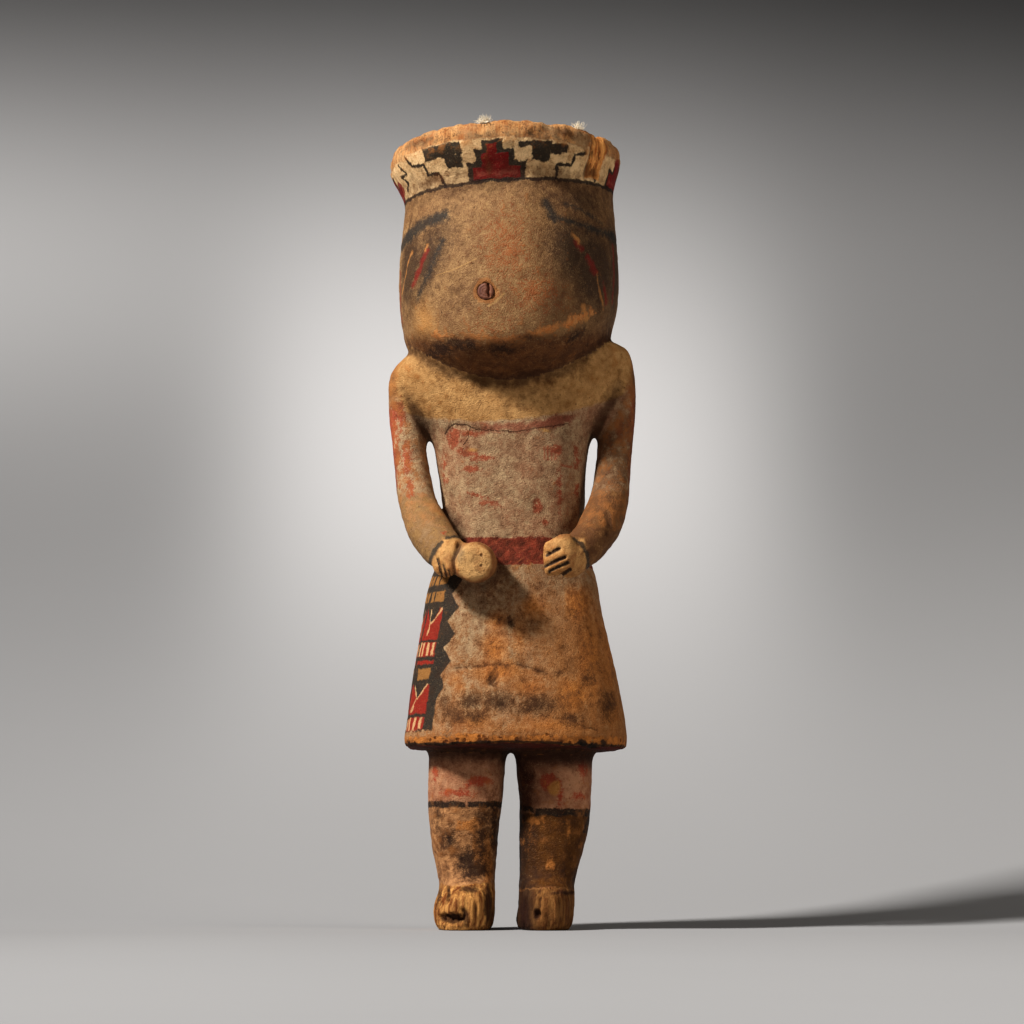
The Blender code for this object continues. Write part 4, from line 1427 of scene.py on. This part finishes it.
leg_orange = dabs(front_place, [
    (-12, 30, 4, 10), (-16, 40, 6, 3), (-9, 24, 2.4, 8), (22, 38, 1.2, 4), (14, 25, 1.8, 1.8),
    (8, 42, 4, 1.2),
])
coats.lay(inside(leg_orange + small * 5 + streak * 5 - 0.2, 0.6) * leg_mask * 0.7,
          pigment(196, 126, 62))

# %% Leg stains and garters
coats.lay(inside(garter_line + small * 1.5 + tiny * 0.8, 0.3) * leg_mask * 0.92, BAND_BLACK)
garter_tail = strokes(front_place, [(1, (31, 44.6), (28.6, 38))])
coats.lay(inside(garter_tail + small * 1.2, 0.4) * 0.85 * leg_mask, BAND_BLACK)
# Soot on the left boot, with painted shade on the left leg's inner side and the top of the right
# thigh.
leg_soot_and_shade = dabs(front_place, [
    (-12, 34, 4, 11), (-17, 26, 5, 7), (-14, 24, 6, 5), (-24, 34, 3, 6), (-28.5, 42, 2, 5),
    (-7, 35, 3.4, 15), (6, 58, 3, 8), (28, 20, 4, 6),
])
coats.lay(inside(leg_soot_and_shade + small * 8 + tiny * 5 + middle * 6 - 0.7, 1.8) * leg_mask
          * 0.88, pigment(36, 19, 9))
leg_shade = most(8 - x, z - 63 - small * 4)
coats.lay(inside(leg_shade + middle * 3, 3) * inside(x, 1) * leg_mask * 0.8, pigment(30, 15, 7))
thigh_shade = inside(z - 48, 1) * inside(16 - x + middle * 12, 6) * inside(x, 1)
coats.lay(thigh_shade * leg_mask * 0.4, pigment(84, 44, 26))
# Painted shadow of the kilt's hem across the tops of the legs.
coats.lay(inside(z - 65 + middle * 5, 2.5) * leg_mask * 0.55, pigment(60, 30, 16))
toe_mask = inside(toes, 0.4)
toe_tone = cloud(place, 1.7, 3, 0.6, (1, 1, 0.08), 14)
coats.lay(toe_mask, blend(clipped(0.45 + toe_tone * 3.4), pigment(216, 158, 92),
                          pigment(120, 68, 30)), 0.78, toe_tone * 0.8)
toe_dark = dabs(front_place, [
    (-22.8, 4.6, 4.6, 2), (-17.6, 5, 1.4, 3.2), (-9, 9, 1.6, 8), (9.4, 6.4, 1.3, 1.7),
    (4.6, 6, 1.6, 7), (-28.4, 12, 0.7, 3.6), (-24.6, 14, 0.6, 3), (-16, 15.6, 3, 1.2),
    (22, 14.4, 6, 0.7),
])
# Painted shade: the right foot darker brown, and nearly black along its inner side.
coats.lay(inside(x, 1) * toe_mask * 0.68, pigment(84, 48, 12))
coats.lay(inside(8.5 - x + small * 3, 2) * inside(x, 1) * toe_mask * 0.8, pigment(30, 15, 7))
coats.lay(inside(toe_dark + small * 1.8, 0.5) * toe_mask * 0.85, pigment(46, 22, 12), 0.9)
leg_skin.finish()

# %% [markdown]
# ### Which material goes where
# Each face asks the fields from the start: above the shoulder line it is head, on an arm or the
# grip or above the waist it is trunk, below the hem it is leg, and the rest is kilt. The lines
# between them run through dark creases or under a painted band.

# %% Give the faces their materials
FACE, HEADBAND, TRUNK, KILT, LEGS = range(5)


def deal_materials(mesh):
    """Sets the material number of every face by where its middle is."""
    centres = read(mesh.polygons, "center") / MM
    facing_down = read(mesh.polygons, "normal")[:, 2] < -0.45
    level, trunk, arms = centres[:, 2], outside_trunk(centres), outside_arms(centres)
    on_grip = np.minimum(trunk, arms + 1) - along_rod(centres, *GRIP)
    number = np.full(len(centres), KILT)
    number[(level > 141) | (trunk - arms > 0.8) | (on_grip > 0.8)] = TRUNK
    number[(level < 66) | (level < 69.5) & ~facing_down & (trunk < -3)] = LEGS
    number[head_height(centres) > 0] = FACE
    number[brow_height(centres) > 0] = HEADBAND
    mesh.polygons.foreach_set("material_index", number)
    return np.bincount(number)


for skin in (face_skin, band_skin, trunk_skin, kilt_skin, leg_skin):
    body.data.materials.append(skin.material)
print("faces a material:", deal_materials(body.data))
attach(body, "root")
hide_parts("doll_body")

# %% [markdown]
# ## The peg
# The broken peg shows its end grain, darker than the face, with a ragged slit where it has
# split. It is modelled from rings, so that the slit and the worn rim are real depth.

# %% Peg shape
PEG_RADIUS = 3.2
PEG_RINGS = (0, 0.4, 0.8, 1.2, 1.6, 2, 2.35, 2.65, 2.9, 3.08)
PEG_SIDES = 64
SLIT = ((0.95, 3), (1.35, 0.9), (1, -0.6), (1.5, -2))


def peg_height(across, up):
    """How high the broken end stands at a point, in millimetres from its plain face."""
    radius = math.hypot(across, up)
    gap = line_gap(np.array([[across, 0, up]]), SLIT)[0]
    slit = math.exp(-(gap / 0.42) ** 2)
    rough = noise.fractal((across, up, 4), 1, 2, 3)
    dome = -0.35 * max(0, radius - 2.2) ** 2
    return dome + 0.12 * rough - 1.5 * slit


def peg_mesh():
    """Rings on the end, then the side and a flat back."""
    side_way = Vector((math.cos(PEG_TURN), math.sin(PEG_TURN), 0))
    tip = peg_middle + outward * (PEG_LENGTH / 2)
    shape = bmesh.new()
    loops = []
    for radius in PEG_RINGS[1:] + (PEG_RADIUS,):
        loop = []
        for index in range(PEG_SIDES):
            turn = 2 * math.pi * index / PEG_SIDES
            across, up = radius * math.cos(turn), radius * math.sin(turn)
            height = peg_height(across, up)
            place = tip + (side_way * across + Vector((0, 0, up)) + outward * height) * MM
            loop.append(shape.verts.new(place))
        loops.append(loop)
    back = [shape.verts.new(vert.co - outward * (vert.co - tip).dot(outward)
                            - outward * (PEG_LENGTH - 0.1 * MM)) for vert in loops[-1]]
    loops.append(back)
    for inner, outer in zip(loops, loops[1:]):
        for index in range(PEG_SIDES):
            after = (index + 1) % PEG_SIDES
            shape.faces.new((inner[index], inner[after], outer[after], outer[index]))
    shape.faces.new(loops[0])
    shape.faces.new(list(reversed(back)))
    bmesh.ops.recalc_face_normals(shape, faces=shape.faces)
    return mesh_from(shape, "peg_end")


peg = object_from(peg_mesh(), "peg_end")
peg.data.shade_smooth()
print("peg:", len(peg.data.polygons), "faces")

# %% Peg material
peg_material, peg_tree = new_material("peg_wood")
peg_place = millimetres(peg_tree)
from_middle = vector_node("SUBTRACT", peg_place, tuple(face_point / MM))
end_place = vector_node("MULTIPLY", from_middle, (1, 0.08, 1))
rings = sum_node("SINE", vector_node("LENGTH", end_place) * 5.5 + cloud(end_place, 1.4, 3) * 7)
grain = use(ROOT_WOOD, peg_tree, {
    "Place": end_place, "Pale": pigment(138, 88, 60), "Dark": pigment(92, 52, 36), "Split": 0.2,
})
peg_dirt = use(HANDLING_DIRT, peg_tree, {
    "Place": peg_place, "Bulge": rings * 0.06, "Amount": 0.35, "Size": 2.2,
})["Mask"]
peg_colour = blend(peg_dirt * 0.6, grain["Colour"], pigment(74, 44, 32))
peg_colour = blend(clipped(rings * 0.14 + 0.1), peg_colour, pigment(120, 68, 50))
close_material(peg_tree, {"Base Color": peg_colour, "Roughness": peg_dirt * 0.2 + 0.6}, {
    "Height": rings * 0.05 + grain["Height"] * 0.3, "Distance": MM, "Strength": 0.8,
})
peg.data.materials.append(peg_material)
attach(peg, "root")
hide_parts("snout_stub")
print("peg material:", len(peg_tree.nodes), "nodes")

# %% [markdown]
# ## Down
# Bits of white down are still stuck to the lip. A tuft is a few dozen soft barbs that spring
# from a small patch and curl at their tips. That is a job for Geometry Nodes: points are strewn
# on a small patch set on the lip where each imported tuft sits, each gets a curved barb, and
# chance turns, leans and scales them.

# %% Down material
down_material, down_tree = new_material("down")
down_place = millimetres(down_tree)
down_tone = blend(clipped(0.3 + cloud(down_place, 1.1, 2) * 2.5), pigment(255, 244, 222),
                  pigment(226, 204, 170))
close_material(down_tree, {
    "Base Color": down_tone, "Roughness": cloud(down_place, 0.6, 2) * 0.3 + 0.9,
})
print("down material ready")

# %% Barb tree
def barb_tree():
    """Strews curved barbs over a mesh. Its inputs are named sizes."""
    tree = bpy.data.node_groups.new("Down barbs", "GeometryNodeTree")
    for title, kind, usual in (
        ("Geometry", "Geometry", None), ("Density", "Float", 2.0e6), ("Length", "Float", 0.004),
        ("Thickness", "Float", 0.00006), ("Lean", "Float", 0.9), ("Seed", "Int", 1),
        ("Finish", "Material", None),
    ):
        socket = tree.interface.new_socket(title, in_out="INPUT", socket_type="NodeSocket" + kind)
        if usual is not None:
            socket.default_value = usual
    tree.interface.new_socket("Geometry", in_out="OUTPUT", socket_type="NodeSocketGeometry")
    start = tree.nodes.new("NodeGroupInput")
    given = {socket.name: Wire(tree, socket) for socket in start.outputs if socket.name}
    strewn = wire_from(tree, "GeometryNodeDistributePointsOnFaces", {
        "Mesh": given["Geometry"], "Density": given["Density"], "Seed": given["Seed"],
    })
    spine = wire_from(tree, "GeometryNodeCurveQuadraticBezier", {
        "Resolution": 5, "Start": ORIGIN, "Middle": (0.12, 0, 0.6), "End": (0.62, 0.1, 0.9),
    })
    taper = wire_from(tree, "GeometryNodeSplineParameter", None, "Factor") * -0.8 + 1
    tapered = wire_from(tree, "GeometryNodeSetCurveRadius", {"Curve": spine, "Radius": taper})
    ratio = sum_node("DIVIDE", given["Thickness"], given["Length"])
    ring = wire_from(tree, "GeometryNodeCurvePrimitiveCircle", {"Resolution": 3, "Radius": ratio})
    barb = wire_from(tree, "GeometryNodeCurveToMesh", {"Curve": tapered, "Profile Curve": ring})
    lean = given["Lean"]
    turns = wire_from(tree, "FunctionNodeRandomValue", {
        0: vector_of(-lean, -lean), 1: vector_of(lean, lean, 6.283), "Seed": given["Seed"],
    }, data_type="FLOAT_VECTOR")
    share = wire_from(tree, "FunctionNodeRandomValue", {2: 0.35, 3: 1, "Seed": 5}, 1,
                      data_type="FLOAT")
    placed = wire_from(tree, "GeometryNodeInstanceOnPoints", {
        "Points": strewn, "Instance": barb, "Rotation": turns, "Scale": share * given["Length"],
    })
    solid = wire_from(tree, "GeometryNodeRealizeInstances", {0: placed})
    finish = wire_from(tree, "GeometryNodeSetMaterial", {
        "Geometry": solid, "Material": given["Finish"],
    })
    put(tree, "NodeGroupOutput", {0: finish})
    return tree


BARBS = barb_tree()
print("barb tree:", len(BARBS.nodes), "nodes")

# %% Tufts
def patch_mesh(middle, wide, deep, name):
    """A small round patch on the lip that the barbs spring from."""
    shape = bmesh.new()
    bmesh.ops.create_circle(shape, cap_ends=True, segments=12, radius=1)
    for vert in shape.verts:
        vert.co = Vector(middle) + Vector((vert.co.x * wide, vert.co.y * deep, 0))
    return mesh_from(shape, name)


def tuft(name, mesh, values):
    """Runs the barb tree on a patch and keeps the result as a plain mesh."""
    obj = object_from(mesh, name)
    modifier = obj.modifiers.new("barbs", "NODES")
    modifier.node_group = BARBS
    for item in BARBS.interface.items_tree:
        if item.in_out == "INPUT" and item.name in values:
            modifier[item.identifier] = values[item.name]
    settle(obj)
    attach(obj, "root")
    return obj


def resting(point):
    """The point on the lip right under a tuft."""
    near = np.hypot(*(lip_points[:, :2] - np.array(point[:2]) / MM).T) < 2
    return point.x, point.y, (lip_points[near, 2].max() - 0.4) * MM


lip_points = points_of(body.data)
for node_name, seed in (("down_tuft_left", 3), ("down_tuft_right", 8)):
    low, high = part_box(node_name)
    middle = resting((low + high) / 2)
    name = node_name + "_barbs"
    patch = patch_mesh(middle, (high.x - low.x) * 0.42, (high.y - low.y) * 0.3, name)
    made = tuft(name, patch, {
        "Density": 3.0e7, "Length": 3.4 * MM, "Thickness": 0.075 * MM, "Lean": 1.3, "Seed": seed,
        "Finish": down_material,
    })
    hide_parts(node_name)
    print(made.name, len(made.data.polygons), "faces")

# %% [markdown]
# ## Floor, light and backdrop
# The doll stands on a plain pale sheet that curves up behind it, so there is no horizon. One
# soft lamp high on the left does most of the work, a weak broad one from the front keeps the
# shadows open, and a third lights the edge on the right. Pools of light are painted into the
# sheet's colour, a glow at the height of the head and a bright floor, darker outwards, to set
# off the head. It is one-sided, so that the doll can be seen from behind.

# %% Floor and backdrop
SWEEP_HALF = 2.2
SWEEP_FRONT = -1.8
SWEEP_START = 0.02
SWEEP_BEND = 1
SWEEP_PARTS = 60
SWEEP_TOP = 1.6
PAPER_FLOOR = 0.36
PAPER_UPPER = 0.22
PAPER_GLOW = 0.37


def sweep_profile():
    """The line of the sheet from the front edge, back along the floor and up the wall."""
    points = [(SWEEP_FRONT, 0), (SWEEP_START, 0)]
    y, z = points[-1]
    for index in range(SWEEP_PARTS):
        share = (index + 0.5) / SWEEP_PARTS
        turn = math.pi / 2 * share ** 1.4
        y += SWEEP_BEND / SWEEP_PARTS * math.cos(turn)
        z += SWEEP_BEND / SWEEP_PARTS * math.sin(turn)
        points.append((y, z))
    return points + [(y, SWEEP_TOP)]


def sweep_mesh():
    shape = bmesh.new()
    sides = [[shape.verts.new((reach, y, z)) for y, z in sweep_profile()]
             for reach in (-SWEEP_HALF, SWEEP_HALF)]
    for index in range(len(sides[0]) - 1):
        shape.faces.new((sides[0][index], sides[1][index], sides[1][index + 1],
                         sides[0][index + 1]))
    return mesh_from(shape, "sweep")


sweep = object_from(sweep_mesh(), "sweep")
sweep.data.shade_smooth()
sweep_material, sweep_tree = new_material("sweep_paper")
sweep_place = millimetres(sweep_tree)
sweep_x, sweep_y, sweep_z = parts_of(sweep_place)


def halo(value, middle, reach, power=2):
    """A soft band of light, strongest at the middle."""
    away = sum_node("POWER", abs((value - middle) * (1 / reach)), power)
    return sum_node("EXPONENT", away * -0.5)


# Painted light in the sheet's colour: a bright floor, brighter behind the feet, a glow behind the
# doll and a band above it.
behind_feet = inside(sweep_y - 20, 60) * 0.1
table = (sweep_x * (1 / 1500) + 1 + behind_feet) * halo(sweep_z, 0, 233) * PAPER_FLOOR
upper_glow = halo(sweep_z, 425, 105) * (sweep_x * (-1 / 900) + 1) * PAPER_UPPER
glow = halo(sweep_z, 280, 107) * halo(sweep_x, 0, 139, 4) * PAPER_GLOW
paper = table + upper_glow + glow + cloud(sweep_place, 160, 3) * 0.01
paper_colour = wire_from(sweep_tree, "ShaderNodeCombineColor", {
    0: paper, 1: paper, 2: paper * 1.02,
})
paper_shader = wire_from(sweep_tree, "ShaderNodeBsdfPrincipled", {
    "Base Color": paper_colour, "Roughness": 0.9, "Specular IOR Level": 0,
})
behind = wire_from(sweep_tree, "ShaderNodeNewGeometry", None, "Backfacing")
clear = wire_from(sweep_tree, "ShaderNodeBsdfTransparent")
one_sided = wire_from(sweep_tree, "ShaderNodeMixShader", {0: behind, 1: paper_shader, 2: clear})
put(sweep_tree, "ShaderNodeOutputMaterial", {0: one_sided})
sweep.data.materials.append(sweep_material)
print("sweep:", len(sweep.data.polygons), "faces")

# %% Lights
KEY_TURN = math.radians(56)
KEY_LIFT = math.radians(41)
KEY_REACH = 1.6
TARGET = Vector((0, 0, 0.17))


def lamp(name, place, size, power, colour):
    """A square soft lamp aimed at the middle of the doll."""
    light = bpy.data.lights.new(name, "AREA")
    light.shape = "SQUARE"
    light.size = size
    light.energy = power
    light.color = colour
    obj = bpy.data.objects.new(name, light)
    obj.location = place
    obj.rotation_euler = (TARGET - Vector(place)).to_track_quat("-Z", "Y").to_euler()
    scene.collection.objects.link(obj)


key_way = Vector((-math.sin(KEY_TURN) * math.cos(KEY_LIFT), -math.cos(KEY_TURN)
                  * math.cos(KEY_LIFT), math.sin(KEY_LIFT)))
lamp("key", TARGET + key_way * KEY_REACH, 0.2, 36, (1, 0.97, 0.93))
lamp("fill", (-0.5, -1.7, 0.9), 1.5, 1.6, (1, 0.98, 0.96))
lamp("edge", (1.35, -0.75, 0.75), 0.9, 6.2, (1, 0.94, 0.85))
world = bpy.data.worlds.new("room")
world.use_nodes = True
room = world.node_tree.nodes["Background"].inputs
room["Color"].default_value = (1, 0.98, 0.96, 1)
room["Strength"].default_value = 0.025
scene.world = world
scene.view_settings.view_transform = "Standard"
scene.view_settings.look = "Medium High Contrast"
